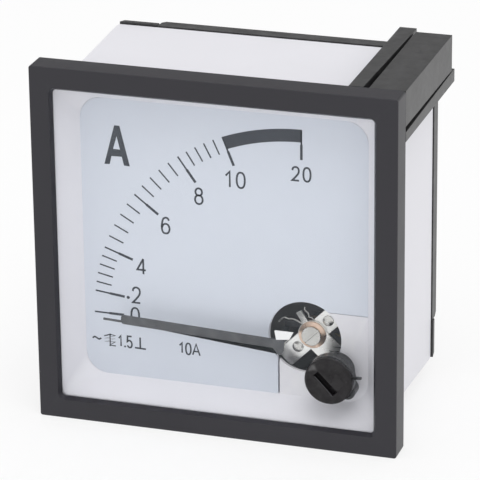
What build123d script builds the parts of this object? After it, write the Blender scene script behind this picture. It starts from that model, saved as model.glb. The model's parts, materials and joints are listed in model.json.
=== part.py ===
from build123d import *
import os
from math import cos, radians, sin

# Square panel ammeter with a 90 degree scale, in millimetres.
# X runs right, Y from the front backwards and Z up. The origin is on the meter's axis, in the plane of the
# panel's front face, which is also the bezel's rear face.

# Bezel and window pane
bezel_side = 72.0
bezel_thick = 5.35
bezel_corner = 0.9
bezel_edge = 0.6
window_side = bezel_side - 8.5
window_corner = 0.9
lip_thick = 1.0
rebate_side = bezel_side - 7.2
rebate_corner = 1.2
pane_thick = 1.1
pane_play = 0.1
lip_rear = lip_thick - bezel_thick
rim_front = lip_rear + pane_thick

# Case, with the tray that the scale lies in
case_depth = 32.9
case_draft = 0.7
case_front_side = bezel_side - 8.2
case_rear_side = case_front_side + 2 * case_draft
case_corner = 1.6
case_wall = 1.8
cavity_corner = 0.9
spigot_play = 0.15
rib_length = 12.0
rib_height = 0.3
rib_thick = 0.8
rib_middle = -1.6
rib_play = 0.1
tray_slope = 3.4
tray_front_side = window_side + 0.3
tray_front_corner = 1.0
tray_floor_side = tray_front_side - 2 * tray_slope
tray_floor_corner = 4.3
dial_face = 1.54
dial_thick = 0.5
dial_play = 0.05
floor_thick = 1.56
platform_side_gap = 0.36
platform_top_gap = 0.12
floor_rear = dial_face + dial_thick + floor_thick
spigot_side = rebate_side - 2 * spigot_play

# Rear cover and its screws
cover_thick = 1.8
cover_lap = 1.0
cover_play = 0.1
cover_corner = 0.9
pillar_radius = 3.0
pillar_inset = 10.6
pillar_reach = case_rear_side / 2 - pillar_inset
pillar_hole_depth = 10.0
screw_core_radius = 1.25
screw_core_play = 0.02
screw_pass_play = 0.35
screw_head_radius = 2.65
screw_head_sink = 0.1
screw_length = 9.0
cover_front = case_depth - cover_thick
cover_side = case_rear_side - 2 * (cover_lap + cover_play)
pillar_centres = [(-pillar_reach, pillar_reach), (pillar_reach, pillar_reach), (-pillar_reach, -pillar_reach)]

# Movement: its pivot, and the round opening in front of it
pivot_x = tray_floor_side / 2 - 11.8
pivot_z = 11.95 - tray_floor_side / 2
platform_left = pivot_x - 5.8
platform_top = pivot_z + 5.99
opening_x = pivot_x - 0.67
opening_z = pivot_z + 0.41
opening_radius = 7.19
opening_lip = 0.35
opening_relief = 1.6
bearing_wall = 1.3
dial_hole_play = 0.1
jewel_shank_radius = 1.5
jewel_head_radius = 1.95
jewel_head_front = 3.15
jewel_head_thick = 0.4
jewel_slot = 0.42
jewel_thread_play = 0.02
jewel_rear = 6.2
jewel_bore_depth = 1.0
journal_radius = 0.25
journal_play = 0.03
journal_end_play = 0.1
running_gap = 0.05

# Front bridge on its two posts
bridge_angle = 45.0
bridge_width = 4.0
bridge_upper_reach = 8.4
bridge_lower_reach = 8.2
bridge_thick = 0.8
bridge_lip = 1.6
post_reach = 4.3
post_radius = 0.9
post_tenon_radius = 0.6
post_tenon_play = 0.02
rivet_radius = 1.1
rivet_height = 0.3
plate_radius = 11.7
plate_thick = 1.0
plate_front = 11.0
plate_hole_radius = 2.0

# Zero lever and hairspring
lever_thick = 0.35
lever_hub_radius = 2.85
lever_arm_width = 4.9
lever_arm_reach = 8.2
lever_slot_start = 5.3
lever_tail_angle = 122.0
lever_tail_width = 1.2
lever_tail_reach = 5.2
lever_washer_thick = 0.25
lever_washer_radius = 2.7
lever_washer_rise = 0.3
spring_inner_radius = 1.25
spring_pitch = 0.4
spring_turns = 4
spring_strip = 0.12
spring_front = 6.3
spring_width = 0.6
stud_radius = 0.3
stud_gap = 0.03
collet_radius = 1.0
collet_front = 6.4
collet_thick = 0.6

# Zero adjuster, and its eccentric pin that runs in the lever's slot
adjuster_distance = 7.8
adjuster_angle = -42.9
adjuster_radius = 4.7
adjuster_front = -4.95
adjuster_chamfer = 0.3
adjuster_head_thick = 0.95
adjuster_groove_radius = adjuster_radius - 0.32
adjuster_groove_width = 0.4
adjuster_body_rear = -1.75
adjuster_waist_radius = 3.6
adjuster_journal_radius = 2.6
adjuster_play = 0.05
adjuster_pane_play = 0.13
adjuster_lip_radius = 2.8
adjuster_lip_thick = 0.25
adjuster_slot_length = 5.4
adjuster_slot_width = 1.25
adjuster_slot_depth = 1.1
lug_angle = -48.0
lug_reach = 5.8
lug_radius = 1.6
lug_rear = 1.2
spur_angle = 4.0
spur_reach = 5.95
spur_width = 0.45
spur_front = -2.75
spur_rear = -2.2
pin_radius = 0.5
pin_offset = 1.5
pin_slot_play = 0.12
pin_overrun = 0.45
adjuster_x = pivot_x + adjuster_distance * cos(radians(adjuster_angle))
adjuster_z = pivot_z + adjuster_distance * sin(radians(adjuster_angle))

# Pointer and what turns with it
rest_angle = 177.46
pointer_front = -2.3
pointer_sheet = 0.25
pointer_width = 1.88
pointer_start = 2.9
pointer_bar_end = 36.6
pointer_tip_end = 40.2
tip_width = 0.42
tip_offset = 0.48
root_start = 5.6
ear_start = 6.0
ear_end = 9.7
ear_height = 1.4
cheek_start = 4.6
cheek_end = 8.3
cheek_height = 1.35
cheek_slope = 1.3
root_width = 1.0
hub_plate_front = 7.6
hub_radius = 1.7
hub_arm_width = 1.2
tail_reach = 5.4
bush_radius = 0.9
bush_play = 0.02
bush_flange_radius = 1.3
bush_flange_thick = 0.4
bush_sleeve_length = 0.8
spindle_radius = 0.6
spindle_play = 0.02
spindle_front = 6.35
weight_radius = 1.2
weight_reach = 4.4
weight_length = 2.75
moving_iron_radius = 3.7
moving_iron_sheet = 0.4
moving_iron_sweep = 70.0
moving_iron_front = 15.0
iron_web_width = 2.4

# Coil and fixed iron
bobbin_front = 12.0
bobbin_flange = 1.2
bobbin_post_length = 2.75
bobbin_rear_web = cover_front - bobbin_post_length - bobbin_flange
spindle_rear = bobbin_rear_web - 1.65
moving_iron_rear = bobbin_rear_web - 3.15
bobbin_bore_radius = 5.2
bobbin_tube_radius = 6.0
bobbin_flange_radius = 11.3
lead_radius = 0.45
lead_level = 20.0
lead_standoff = 2.5
lead_angles = (128.0, 82.0)
winding_radius = 10.8
winding_play = 0.05
fixed_iron_sheet = 0.55
fixed_iron_play = 0.1
fixed_iron_sweep = 150.0
fixed_iron_front = 14.0
fixed_iron_rear = bobbin_rear_web - 2.15
iron_start_angle = rest_angle + 180 - moving_iron_sweep / 2
ear_reach = 13.4
ear_radius = 2.6
ear_angles = (180.0, 90.0)
cover_post_radius = 2.5
small_screw_radius = 0.95
small_screw_play = 0.02
small_screw_pass_play = 0.1
small_screw_head_radius = 1.9
small_screw_head_thick = 1.1
small_screw_length = 3.6
rear_jewel_front = bobbin_rear_web - 1.55
rear_jewel_length = 4.0
rear_nut_across = 4.2
rear_nut_thick = 1.0

# Terminals
stud_inset = 17.6
stud_rise = 22.55
stud_shank_radius = 2.0
stud_play = 0.1
stud_reach = 16.0
stud_end = case_depth + stud_reach
stud_spread = case_rear_side / 2 - stud_inset
stud_height = pivot_z + stud_rise
stud_relief_depth = 0.25
stud_relief_width = 0.6
hex_across = 7.0
stud_head_thick = 2.0
tag_thick = 0.4
tag_radius = 4.0
tag_width = 3.0
tag_reach = 10.0
tag_hole_radius = 0.7
boss_radius = 6.5
boss_height = 3.0
lock_nut_thick = 2.2
washer_radius = 4.5
washer_thick = 0.8
spring_washer_radius = 3.7
spring_washer_thick = 0.9
spring_washer_cut = 0.6
nut_thick = 3.2

# Corner clamps, and the racks on the case that they catch on
clamp_outer = bezel_side / 2
clamp_inner = case_rear_side / 2 + 0.15
clamp_corner = 0.8
clamp_block_start = clamp_outer - 7.2
clamp_block_front = 0.8
clamp_plate_thick = 0.8
clamp_arm_gap = 0.3
clamp_arm_thick = 2.9
clamp_arm_width = 8.2
clamp_arm_edge = case_rear_side / 2
clamp_reach_short = clamp_arm_edge - 9.1
clamp_reach_long = clamp_arm_edge - 0.3
clamp_tip_length = 9.0
clamp_tip_thin = 1.0
clamp_tip_chamfer = 0.8
tongue_front = 0.3
tongue_thick = 2.1
tongue_inner = clamp_outer - tongue_thick
tongue_top_to = clamp_outer - 7.6
tongue_top_from = tongue_top_to - 3.4
tongue_side_to = clamp_outer - 7.5
tongue_side_from = tongue_side_to - 2.55
knuckle_inner = clamp_outer - 5.0
rack_pitch = 1.5
rack_front = 3.0
rack_teeth = int((case_depth - rack_front - 1.4) / rack_pitch)
rack_root = case_rear_side / 2 + 0.05
rack_crest = rack_root + 0.45
rack_sink = 0.15
rack_margin = 0.45
pawl_play = 0.1
pawl_front = 2.0
pawl_teeth = 3
clamp_rear = case_depth + clamp_arm_gap


def facing(depth, x=0.0, z=0.0, angle=0.0):
    """Plane that faces the front at this depth, its X axis turned by angle from right towards up."""
    turn = radians(angle)
    return Plane(origin=(x, depth, z), x_dir=(cos(turn), 0, sin(turn)), z_dir=(0, -1, 0))


def turned(points, x, z, mode=Mode.ADD):
    """Revolve an outline of (radius, depth) points about the front-to-back line through x, z."""
    with BuildSketch(Plane.XY.offset(z)) as outline:
        with BuildLine():
            Polyline(*[(x + radius, depth) for radius, depth in points], close=True)
        make_face()
    revolve(outline.sketch, axis=Axis((x, 0, z), (0, 1, 0)), mode=mode)


def ring(x, z, bore, radius, front, rear, mode=Mode.ADD):
    """Plain washer or bush about the front-to-back line through x, z."""
    with BuildSketch(facing(rear, x, z)) as face:
        Circle(radius)
        if bore > 0:
            Circle(bore, mode=Mode.SUBTRACT)
    extrude(face.sketch, amount=rear - front, mode=mode)


def curved_sheet(inner, outer, start, sweep, front, rear):
    """Strip bent about the pivot line, between two radii and over an angle."""
    with BuildSketch(facing(rear, pivot_x, pivot_z, start)) as face:
        with BuildLine():
            far = CenterArc((0, 0), outer, 0, sweep)
            near = CenterArc((0, 0), inner, 0, sweep)
            Line(far @ 0, near @ 0)
            Line(far @ 1, near @ 1)
        make_face()
    extrude(face.sketch, amount=rear - front)


def rack_outline(start, teeth, base, root, crest):
    """Saw teeth along the depth: a steep front face, then a slope down to the rear."""
    points = [(start, base), (start, root)]
    for tooth in range(teeth):
        points.append((start + tooth * rack_pitch, crest))
        points.append((start + (tooth + 1) * rack_pitch, root))
    points.append((start + teeth * rack_pitch, base))
    return points


def along_top(offset):
    """Plane across X, its own axes along the depth and up."""
    return Plane.YZ.offset(offset)


def along_side(offset):
    """Plane across Z, its own axes along the depth and to the right."""
    return Plane(origin=(0, 0, offset), x_dir=(0, 1, 0), z_dir=(0, 0, -1))


def case_side(depth):
    """Outer side of the tapered case at a depth."""
    return case_front_side + (case_rear_side - case_front_side) * depth / case_depth


def at_pivot(reach, angle):
    """Point at a distance and an angle from the pivot, as X and Z."""
    return pivot_x + reach * cos(radians(angle)), pivot_z + reach * sin(radians(angle))


def hex_piece(across, bore, front, rear):
    """Hexagon with its corners turned down at both ends, about the line through the origin."""
    corner = across / 2 / cos(radians(30))
    drop = (corner - across / 2) * 0.6
    with BuildPart() as piece:
        with BuildSketch(facing(rear)):
            RegularPolygon(across / 2, 6, major_radius=False)
            if bore > 0:
                Circle(bore, mode=Mode.SUBTRACT)
        extrude(amount=rear - front)
        outline = [
            (0, front),
            (across / 2, front),
            (corner, front + drop),
            (corner, rear - drop),
            (across / 2, rear),
            (0, rear),
        ]
        turned(outline, 0, 0, Mode.INTERSECT)
    return piece.part


# Bezel: front lip, rebate for the pane and the case's rim, and grooves for the case's ribs
with BuildPart() as bezel:
    with BuildSketch(facing(0)):
        RectangleRounded(bezel_side, bezel_side, bezel_corner)
    extrude(amount=bezel_thick)
    fillet(bezel.edges().group_by(Axis.Y)[0], bezel_edge)
    with BuildSketch(facing(0)):
        RectangleRounded(rebate_side, rebate_side, rebate_corner)
    extrude(amount=-lip_rear, mode=Mode.SUBTRACT)
    with BuildSketch(facing(lip_rear)):
        RectangleRounded(window_side, window_side, window_corner)
    extrude(amount=lip_thick, mode=Mode.SUBTRACT)
    groove_length = rib_length + 6 * rib_play
    groove_span = rebate_side + 2 * (rib_height + rib_play)
    with BuildSketch(facing(rib_middle + rib_thick / 2 + rib_play)):
        Rectangle(groove_length, groove_span)
        Rectangle(groove_span, groove_length)
    extrude(amount=rib_thick + 2 * rib_play, mode=Mode.SUBTRACT)
bezel.part.label = "bezel"

# Window pane, with the hole that the zero adjuster turns in
with BuildPart() as window_pane:
    with BuildSketch(facing(rim_front)):
        pane_side = rebate_side - 2 * pane_play
        RectangleRounded(pane_side, pane_side, rebate_corner)
        with Locations((adjuster_x, adjuster_z)):
            Circle(adjuster_radius + adjuster_pane_play, mode=Mode.SUBTRACT)
    extrude(amount=pane_thick)
window_pane.part.label = "window_pane"

# Racks at one corner of the case, one under each tongue of the clamp
with BuildPart() as corner_racks:
    rack_base = case_front_side / 2 - rack_sink
    rack_points = rack_outline(rack_front, rack_teeth, rack_base, rack_root, rack_crest)
    with BuildSketch(along_top(tongue_top_from + rack_margin)):
        with BuildLine():
            Polyline(*rack_points, close=True)
        make_face()
    extrude(amount=tongue_top_to - tongue_top_from - 2 * rack_margin)
    with BuildSketch(along_side(tongue_side_to - rack_margin)):
        with BuildLine():
            Polyline(*rack_points, close=True)
        make_face()
    extrude(amount=tongue_side_to - tongue_side_from - 2 * rack_margin)

# Case: tapered box with a rim that enters the bezel, a sloped tray, a scale seat and a hollow rear
with BuildPart() as case:
    with BuildSketch(facing(0)):
        RectangleRounded(case_front_side, case_front_side, case_corner)
    with BuildSketch(facing(case_depth)):
        RectangleRounded(case_rear_side, case_rear_side, case_corner)
    loft()
    with BuildSketch(facing(0)):
        RectangleRounded(spigot_side, spigot_side, rebate_corner)
    extrude(amount=-rim_front)
    with BuildSketch(facing(rib_middle + rib_thick / 2)):
        Rectangle(rib_length, spigot_side + 2 * rib_height)
        Rectangle(spigot_side + 2 * rib_height, rib_length)
    extrude(amount=rib_thick)
    with BuildSketch(facing(rim_front)):
        RectangleRounded(tray_front_side, tray_front_side, tray_front_corner)
    with BuildSketch(facing(dial_face)):
        RectangleRounded(tray_floor_side, tray_floor_side, tray_floor_corner)
    loft(mode=Mode.SUBTRACT)
    # Seat of the scale plate, left standing as a platform at the lower right
    with BuildSketch(facing(dial_face + dial_thick)):
        RectangleRounded(tray_floor_side, tray_floor_side, tray_floor_corner)
        with Locations((platform_left, opening_z), (opening_x, platform_top)):
            Rectangle(tray_floor_side, tray_floor_side, align=(Align.MIN, Align.MAX), mode=Mode.SUBTRACT)
    extrude(amount=dial_thick, mode=Mode.SUBTRACT)
    # Slot through the floor under the gap at the platform's left
    with BuildSketch(facing(floor_rear)):
        with Locations((platform_left, opening_z)):
            Rectangle(platform_side_gap, opening_z + tray_floor_side / 2, align=Align.MAX)
    extrude(amount=floor_thick, mode=Mode.SUBTRACT)
    # Opening for the movement, thinned behind its edge, and the adjuster's bearing beside it
    relief_front = dial_face + dial_thick + opening_lip
    ring(opening_x, opening_z, 0, opening_radius + opening_relief, relief_front, floor_rear, Mode.SUBTRACT)
    adjuster_bore = adjuster_journal_radius + adjuster_play
    ring(adjuster_x, adjuster_z, 0, adjuster_bore + bearing_wall, relief_front, floor_rear)
    ring(opening_x, opening_z, 0, opening_radius, dial_face, floor_rear, Mode.SUBTRACT)
    ring(adjuster_x, adjuster_z, 0, adjuster_bore, dial_face, floor_rear, Mode.SUBTRACT)
    # Rear hollow and the ledge of the cover
    with BuildSketch(facing(floor_rear)):
        front_hollow = case_side(floor_rear) - 2 * case_wall
        RectangleRounded(front_hollow, front_hollow, cavity_corner)
    with BuildSketch(facing(cover_front)):
        rear_hollow = case_side(cover_front) - 2 * case_wall
        RectangleRounded(rear_hollow, rear_hollow, cavity_corner)
    loft(mode=Mode.SUBTRACT)
    with BuildSketch(facing(case_depth)):
        RectangleRounded(cover_side + 2 * cover_play, cover_side + 2 * cover_play, cover_corner)
    extrude(amount=cover_thick, mode=Mode.SUBTRACT)
    # Pillars for the cover's screws
    with BuildSketch(facing(cover_front)):
        with Locations(*pillar_centres):
            Circle(pillar_radius)
    extrude(amount=cover_front - floor_rear)
    with BuildSketch(facing(cover_front)):
        with Locations(*pillar_centres):
            Circle(screw_core_radius + screw_core_play)
    extrude(amount=pillar_hole_depth, mode=Mode.SUBTRACT)
    add(corner_racks.part)
    add(corner_racks.part.rotate(Axis.Y, 180))
case.part.label = "case"

# Scale plate, notched round the platform and cleared round the movement's opening
with BuildPart() as dial_plate:
    with BuildSketch(facing(dial_face + dial_thick)):
        plate_side = tray_floor_side - 2 * dial_play
        RectangleRounded(plate_side, plate_side, tray_floor_corner - dial_play)
        with Locations((platform_left - platform_side_gap, opening_z), (opening_x, platform_top + platform_top_gap)):
            Rectangle(plate_side, plate_side, align=(Align.MIN, Align.MAX), mode=Mode.SUBTRACT)
        with Locations((opening_x, opening_z)):
            Circle(opening_radius + dial_hole_play, mode=Mode.SUBTRACT)
    extrude(amount=dial_thick)
dial_plate.part.label = "dial_plate"

# Front jewel screw: slotted head, threaded shank and the blind bore that the spindle's pivot runs in
jewel_head_rear = jewel_head_front + jewel_head_thick
with BuildPart() as front_jewel_screw:
    ring(pivot_x, pivot_z, 0, jewel_head_radius, jewel_head_front, jewel_head_rear)
    chamfer(front_jewel_screw.edges().group_by(Axis.Y)[0], jewel_head_thick / 5)
    with BuildSketch(facing(jewel_head_front + jewel_head_thick / 2, pivot_x, pivot_z, bridge_angle)):
        Rectangle(2 * jewel_head_radius, jewel_slot)
    extrude(amount=jewel_head_thick / 2, mode=Mode.SUBTRACT)
    ring(pivot_x, pivot_z, 0, jewel_shank_radius, jewel_head_rear, jewel_rear)
    jewel_bore_front = jewel_rear - jewel_bore_depth
    ring(pivot_x, pivot_z, 0, journal_radius + journal_play, jewel_bore_front, jewel_rear, Mode.SUBTRACT)
front_jewel_screw.part.label = "front_jewel_screw"

# Coned spring washer between the jewel screw's head and the zero lever
lever_washer_front = jewel_head_rear + running_gap
lever_washer_rear = lever_washer_front + lever_washer_rise + lever_washer_thick
with BuildPart() as lever_washer:
    washer_bore = jewel_shank_radius + running_gap
    outline = [
        (washer_bore, lever_washer_front),
        (lever_washer_radius, lever_washer_front + lever_washer_rise),
        (lever_washer_radius, lever_washer_rear),
        (washer_bore, lever_washer_front + lever_washer_thick),
    ]
    turned(outline, pivot_x, pivot_z)
lever_washer.part.label = "lever_washer"

# Zero lever: hub, slotted arm towards the adjuster, and a tail with the hairspring's stud
lever_front = lever_washer_rear + running_gap
lever_rear = lever_front + lever_thick
spring_outer_radius = spring_inner_radius + spring_turns * spring_pitch
spring_stud_reach = spring_outer_radius + spring_strip / 2 + stud_gap + stud_radius
with BuildPart() as zero_lever:
    with BuildSketch(facing(lever_rear, pivot_x, pivot_z, adjuster_angle)):
        Circle(lever_hub_radius)
        Rectangle(lever_arm_reach, lever_arm_width, align=(Align.MIN, Align.CENTER))
        with Locations((lever_slot_start, 0)):
            slot_width = 2 * (pin_radius + pin_slot_play)
            Circle(slot_width / 2, mode=Mode.SUBTRACT)
            Rectangle(lever_arm_reach, slot_width, align=(Align.MIN, Align.CENTER), mode=Mode.SUBTRACT)
        with Locations(Location((0, 0), lever_tail_angle - adjuster_angle)):
            Rectangle(lever_tail_reach, lever_tail_width, align=(Align.MIN, Align.CENTER))
        Circle(jewel_shank_radius + running_gap, mode=Mode.SUBTRACT)
    extrude(amount=lever_thick)
    fillet(zero_lever.edges().filter_by(Axis.Y).group_by(Axis.Z)[0], lever_thick)
    stud_x, stud_z = at_pivot(spring_stud_reach, lever_tail_angle)
    ring(stud_x, stud_z, 0, stud_radius, lever_rear, spring_front + spring_width)
zero_lever.part.label = "zero_lever"

# Hairspring: a flat spiral of half circles about two centres, half a pitch apart
with BuildPart() as hairspring:
    with BuildSketch(facing(spring_front + spring_width, pivot_x, pivot_z, lever_tail_angle)):
        with BuildLine():
            step = spring_pitch / 2
            for half_turn in range(2 * spring_turns):
                middle = (step * (half_turn % 2), 0)
                start = 180 * (half_turn % 2)
                radius = spring_inner_radius + step * half_turn
                outside = CenterArc(middle, radius + spring_strip / 2, start, 180)
                inside = CenterArc(middle, radius - spring_strip / 2, start, 180)
                if half_turn == 0:
                    Line(outside @ 0, inside @ 0)
            Line(outside @ 1, inside @ 1)
        make_face()
    extrude(amount=spring_width)
hairspring.part.label = "hairspring"

# Collet that holds the hairspring's inner end on the spindle
with BuildPart() as hairspring_collet:
    spindle_bore = spindle_radius + spindle_play
    ring(pivot_x, pivot_z, spindle_bore, collet_radius, collet_front, collet_front + collet_thick)
hairspring_collet.part.label = "hairspring_collet"

# Front bridge: a strip across the opening, bent back at its lower end
bridge_front = lever_rear + running_gap
bridge_rear = bridge_front + bridge_thick
with BuildPart() as front_bridge:
    with BuildSketch(facing(bridge_rear, pivot_x, pivot_z, bridge_angle)):
        bridge_length = bridge_upper_reach + bridge_lower_reach
        with Locations(((bridge_upper_reach - bridge_lower_reach) / 2, 0)):
            RectangleRounded(bridge_length, bridge_width, bridge_width / 8)
        Circle(jewel_shank_radius + jewel_thread_play, mode=Mode.SUBTRACT)
        with Locations((post_reach, 0), (-post_reach, 0)):
            Circle(post_tenon_radius + post_tenon_play, mode=Mode.SUBTRACT)
    extrude(amount=bridge_thick)
    with BuildSketch(facing(bridge_rear + bridge_lip, pivot_x, pivot_z, bridge_angle)):
        with Locations((-bridge_lower_reach + bridge_width / 8, 0)):
            Rectangle(bridge_thick, bridge_width * 0.75, align=(Align.MIN, Align.CENTER))
    extrude(amount=bridge_lip)
front_bridge.part.label = "front_bridge"

# Posts that carry the bridge, riveted over in front and in the movement plate
plate_rear = plate_front + plate_thick
with BuildPart() as bridge_posts:
    for reach in (post_reach, -post_reach):
        post_x, post_z = at_pivot(reach, bridge_angle)
        outline = [
            (0, bridge_front - rivet_height),
            (rivet_radius / 2, bridge_front - rivet_height),
            (rivet_radius, bridge_front - rivet_height / 3),
            (rivet_radius, bridge_front),
            (post_tenon_radius, bridge_front),
            (post_tenon_radius, bridge_rear),
            (post_radius, bridge_rear),
            (post_radius, plate_front),
            (post_tenon_radius, plate_front),
            (post_tenon_radius, plate_rear),
            (0, plate_rear),
        ]
        turned(outline, post_x, post_z)
bridge_posts.part.label = "bridge_posts"

# Movement plate on the coil bobbin
with BuildPart() as movement_plate:
    with BuildSketch(facing(plate_rear, pivot_x, pivot_z, bridge_angle)):
        Circle(plate_radius)
        Circle(plate_hole_radius, mode=Mode.SUBTRACT)
        with Locations((post_reach, 0), (-post_reach, 0)):
            Circle(post_tenon_radius + post_tenon_play, mode=Mode.SUBTRACT)
    extrude(amount=plate_thick)
movement_plate.part.label = "movement_plate"

# Spindle, with a fine pivot at each end
with BuildPart() as spindle:
    outline = [
        (0, jewel_bore_front + journal_end_play),
        (journal_radius, jewel_bore_front + journal_end_play),
        (journal_radius, spindle_front),
        (spindle_radius, spindle_front),
        (spindle_radius, spindle_rear),
        (journal_radius, spindle_rear),
        (journal_radius, rear_jewel_front + jewel_bore_depth),
        (0, rear_jewel_front + jewel_bore_depth),
    ]
    turned(outline, pivot_x, pivot_z)
spindle.part.label = "spindle"

# Pointer: a pressed bar with a fine tip, a root bent back from its lower edge, and a hub plate with a tail
hub_plate_rear = hub_plate_front + pointer_sheet
root_end = root_start + root_width
with BuildPart() as pointer:
    with BuildSketch(facing(pointer_front + pointer_sheet, pivot_x, pivot_z, rest_angle)):
        bar_length = pointer_bar_end - pointer_start
        with Locations((pointer_start + bar_length / 2, 0)):
            RectangleRounded(bar_length, pointer_width, pointer_width / 3)
        with Locations((pointer_bar_end - pointer_width, tip_offset)):
            tip_length = pointer_tip_end - pointer_bar_end + pointer_width
            Rectangle(tip_length, tip_width, align=(Align.MIN, Align.CENTER))
        # Ear on the upper edge and cheek on the lower one
        with Locations((ear_start, 0)):
            Rectangle(ear_end - ear_start, pointer_width / 2 + ear_height, align=(Align.MIN, Align.MAX))
        with BuildLine():
            Polyline(
                (cheek_start, 0),
                (cheek_start, pointer_width / 2 + cheek_height),
                (cheek_end - cheek_slope, pointer_width / 2 + cheek_height),
                (cheek_end, pointer_width / 2),
                (cheek_end, 0),
                close=True,
            )
        make_face()
    extrude(amount=pointer_sheet)
    with BuildSketch(facing(hub_plate_rear, pivot_x, pivot_z, rest_angle)):
        with Locations((root_start, pointer_width / 2)):
            Rectangle(root_width, pointer_sheet, align=(Align.MIN, Align.MAX))
    extrude(amount=hub_plate_rear - pointer_front)
    with BuildSketch(facing(hub_plate_rear, pivot_x, pivot_z, rest_angle)):
        Circle(hub_radius)
        Rectangle(root_end, hub_arm_width, align=(Align.MIN, Align.CENTER))
        Rectangle(tail_reach, hub_arm_width, align=(Align.MAX, Align.CENTER))
        with Locations((root_start, 0)):
            Rectangle(root_width, pointer_width / 2, align=(Align.MIN, Align.MIN))
        Circle(bush_radius + bush_play, mode=Mode.SUBTRACT)
    extrude(amount=pointer_sheet)
pointer.part.label = "pointer"

# Bush that carries the pointer on the spindle
with BuildPart() as pointer_bush:
    flange_front = hub_plate_rear + running_gap
    outline = [
        (spindle_bore, flange_front - bush_sleeve_length),
        (bush_radius, flange_front - bush_sleeve_length),
        (bush_radius, flange_front),
        (bush_flange_radius, flange_front),
        (bush_flange_radius, flange_front + bush_flange_thick),
        (spindle_bore, flange_front + bush_flange_thick),
    ]
    turned(outline, pivot_x, pivot_z)
pointer_bush.part.label = "pointer_bush"

# Balance weight on the pointer's tail
with BuildPart() as balance_weight:
    weight_x, weight_z = at_pivot(weight_reach, rest_angle + 180)
    ring(weight_x, weight_z, 0, weight_radius, hub_plate_rear, hub_plate_rear + weight_length)
balance_weight.part.label = "balance_weight"

# Moving iron: a curved sheet on a web that is pressed on the spindle
with BuildPart() as moving_iron:
    iron_inner = moving_iron_radius - moving_iron_sheet
    iron_middle = iron_start_angle + moving_iron_sweep / 2
    curved_sheet(
        iron_inner,
        moving_iron_radius,
        iron_start_angle,
        moving_iron_sweep,
        moving_iron_front,
        moving_iron_rear,
    )
    with BuildSketch(facing(moving_iron_front + moving_iron_sheet, pivot_x, pivot_z, iron_middle)):
        Circle(spindle_radius * 2)
        Rectangle(iron_inner + moving_iron_sheet / 2, iron_web_width, align=(Align.MIN, Align.CENTER))
        Circle(spindle_bore, mode=Mode.SUBTRACT)
    extrude(amount=moving_iron_sheet)
moving_iron.part.label = "moving_iron"

# Fixed iron, a curved sheet against the bobbin's bore
with BuildPart() as fixed_iron:
    fixed_outer = bobbin_bore_radius - fixed_iron_play
    curved_sheet(
        fixed_outer - fixed_iron_sheet,
        fixed_outer,
        iron_start_angle + moving_iron_sweep - fixed_iron_sweep,
        fixed_iron_sweep,
        fixed_iron_front,
        fixed_iron_rear,
    )
fixed_iron.part.label = "fixed_iron"

# Coil bobbin: tube, two flanges, the rear web of the rear jewel screw, and two ears
bobbin_rear = bobbin_rear_web + bobbin_flange
ear_centres = [at_pivot(ear_reach, angle) for angle in ear_angles]
with BuildPart() as coil_bobbin:
    outline = [
        (bobbin_bore_radius, bobbin_front),
        (bobbin_flange_radius, bobbin_front),
        (bobbin_flange_radius, bobbin_front + bobbin_flange),
        (bobbin_tube_radius, bobbin_front + bobbin_flange),
        (bobbin_tube_radius, bobbin_rear_web),
        (bobbin_flange_radius, bobbin_rear_web),
        (bobbin_flange_radius, bobbin_rear),
        (jewel_shank_radius + jewel_thread_play, bobbin_rear),
        (jewel_shank_radius + jewel_thread_play, bobbin_rear_web),
        (bobbin_bore_radius, bobbin_rear_web),
    ]
    turned(outline, pivot_x, pivot_z)
    for angle in ear_angles:
        with BuildSketch(facing(bobbin_rear, pivot_x, pivot_z, angle)):
            with Locations(((ear_reach + bobbin_flange_radius) / 2 - ear_radius / 2, 0)):
                Rectangle(ear_reach - bobbin_flange_radius + ear_radius, 2 * ear_radius)
            with Locations((ear_reach, 0)):
                Circle(ear_radius)
                Circle(small_screw_radius + small_screw_pass_play, mode=Mode.SUBTRACT)
        extrude(amount=bobbin_flange)
coil_bobbin.part.label = "coil_bobbin"

# Coil winding between the flanges
with BuildPart() as coil_winding:
    winding_front = bobbin_front + bobbin_flange + winding_play
    ring(
        pivot_x,
        pivot_z,
        bobbin_tube_radius + 2 * winding_play,
        winding_radius,
        winding_front,
        bobbin_rear_web - winding_play,
    )
coil_winding.part.label = "coil_winding"

# Rear jewel screw and its lock nut
rear_jewel_rear = rear_jewel_front + rear_jewel_length
with BuildPart() as rear_jewel_screw:
    ring(pivot_x, pivot_z, 0, jewel_shank_radius, rear_jewel_front, rear_jewel_rear)
    jewel_bore_rear = rear_jewel_front + jewel_bore_depth + journal_end_play
    ring(pivot_x, pivot_z, 0, journal_radius + journal_play, rear_jewel_front, jewel_bore_rear, Mode.SUBTRACT)
    with BuildSketch(facing(rear_jewel_rear, pivot_x, pivot_z)):
        Rectangle(2 * jewel_shank_radius, jewel_slot)
    extrude(amount=jewel_slot, mode=Mode.SUBTRACT)
rear_jewel_screw.part.label = "rear_jewel_screw"

with BuildPart() as rear_lock_nut:
    nut_bore = jewel_shank_radius + jewel_thread_play
    rear_nut = hex_piece(rear_nut_across, nut_bore, bobbin_rear, bobbin_rear + rear_nut_thick)
    add(rear_nut.moved(Location((pivot_x, 0, pivot_z))))
rear_lock_nut.part.label = "rear_lock_nut"

# Screws that hold the bobbin's ears to the cover's posts
with BuildPart() as movement_screws:
    for ear_x, ear_z in ear_centres:
        head_front = bobbin_rear_web - small_screw_head_thick
        ring(ear_x, ear_z, 0, small_screw_head_radius, head_front, bobbin_rear_web)
        ring(ear_x, ear_z, 0, small_screw_radius, bobbin_rear_web, bobbin_rear_web + small_screw_length)
        with BuildSketch(facing(head_front + small_screw_head_thick / 2, ear_x, ear_z)):
            Rectangle(2 * small_screw_head_radius, jewel_slot)
        extrude(amount=small_screw_head_thick / 2, mode=Mode.SUBTRACT)
movement_screws.part.label = "movement_screws"

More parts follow.
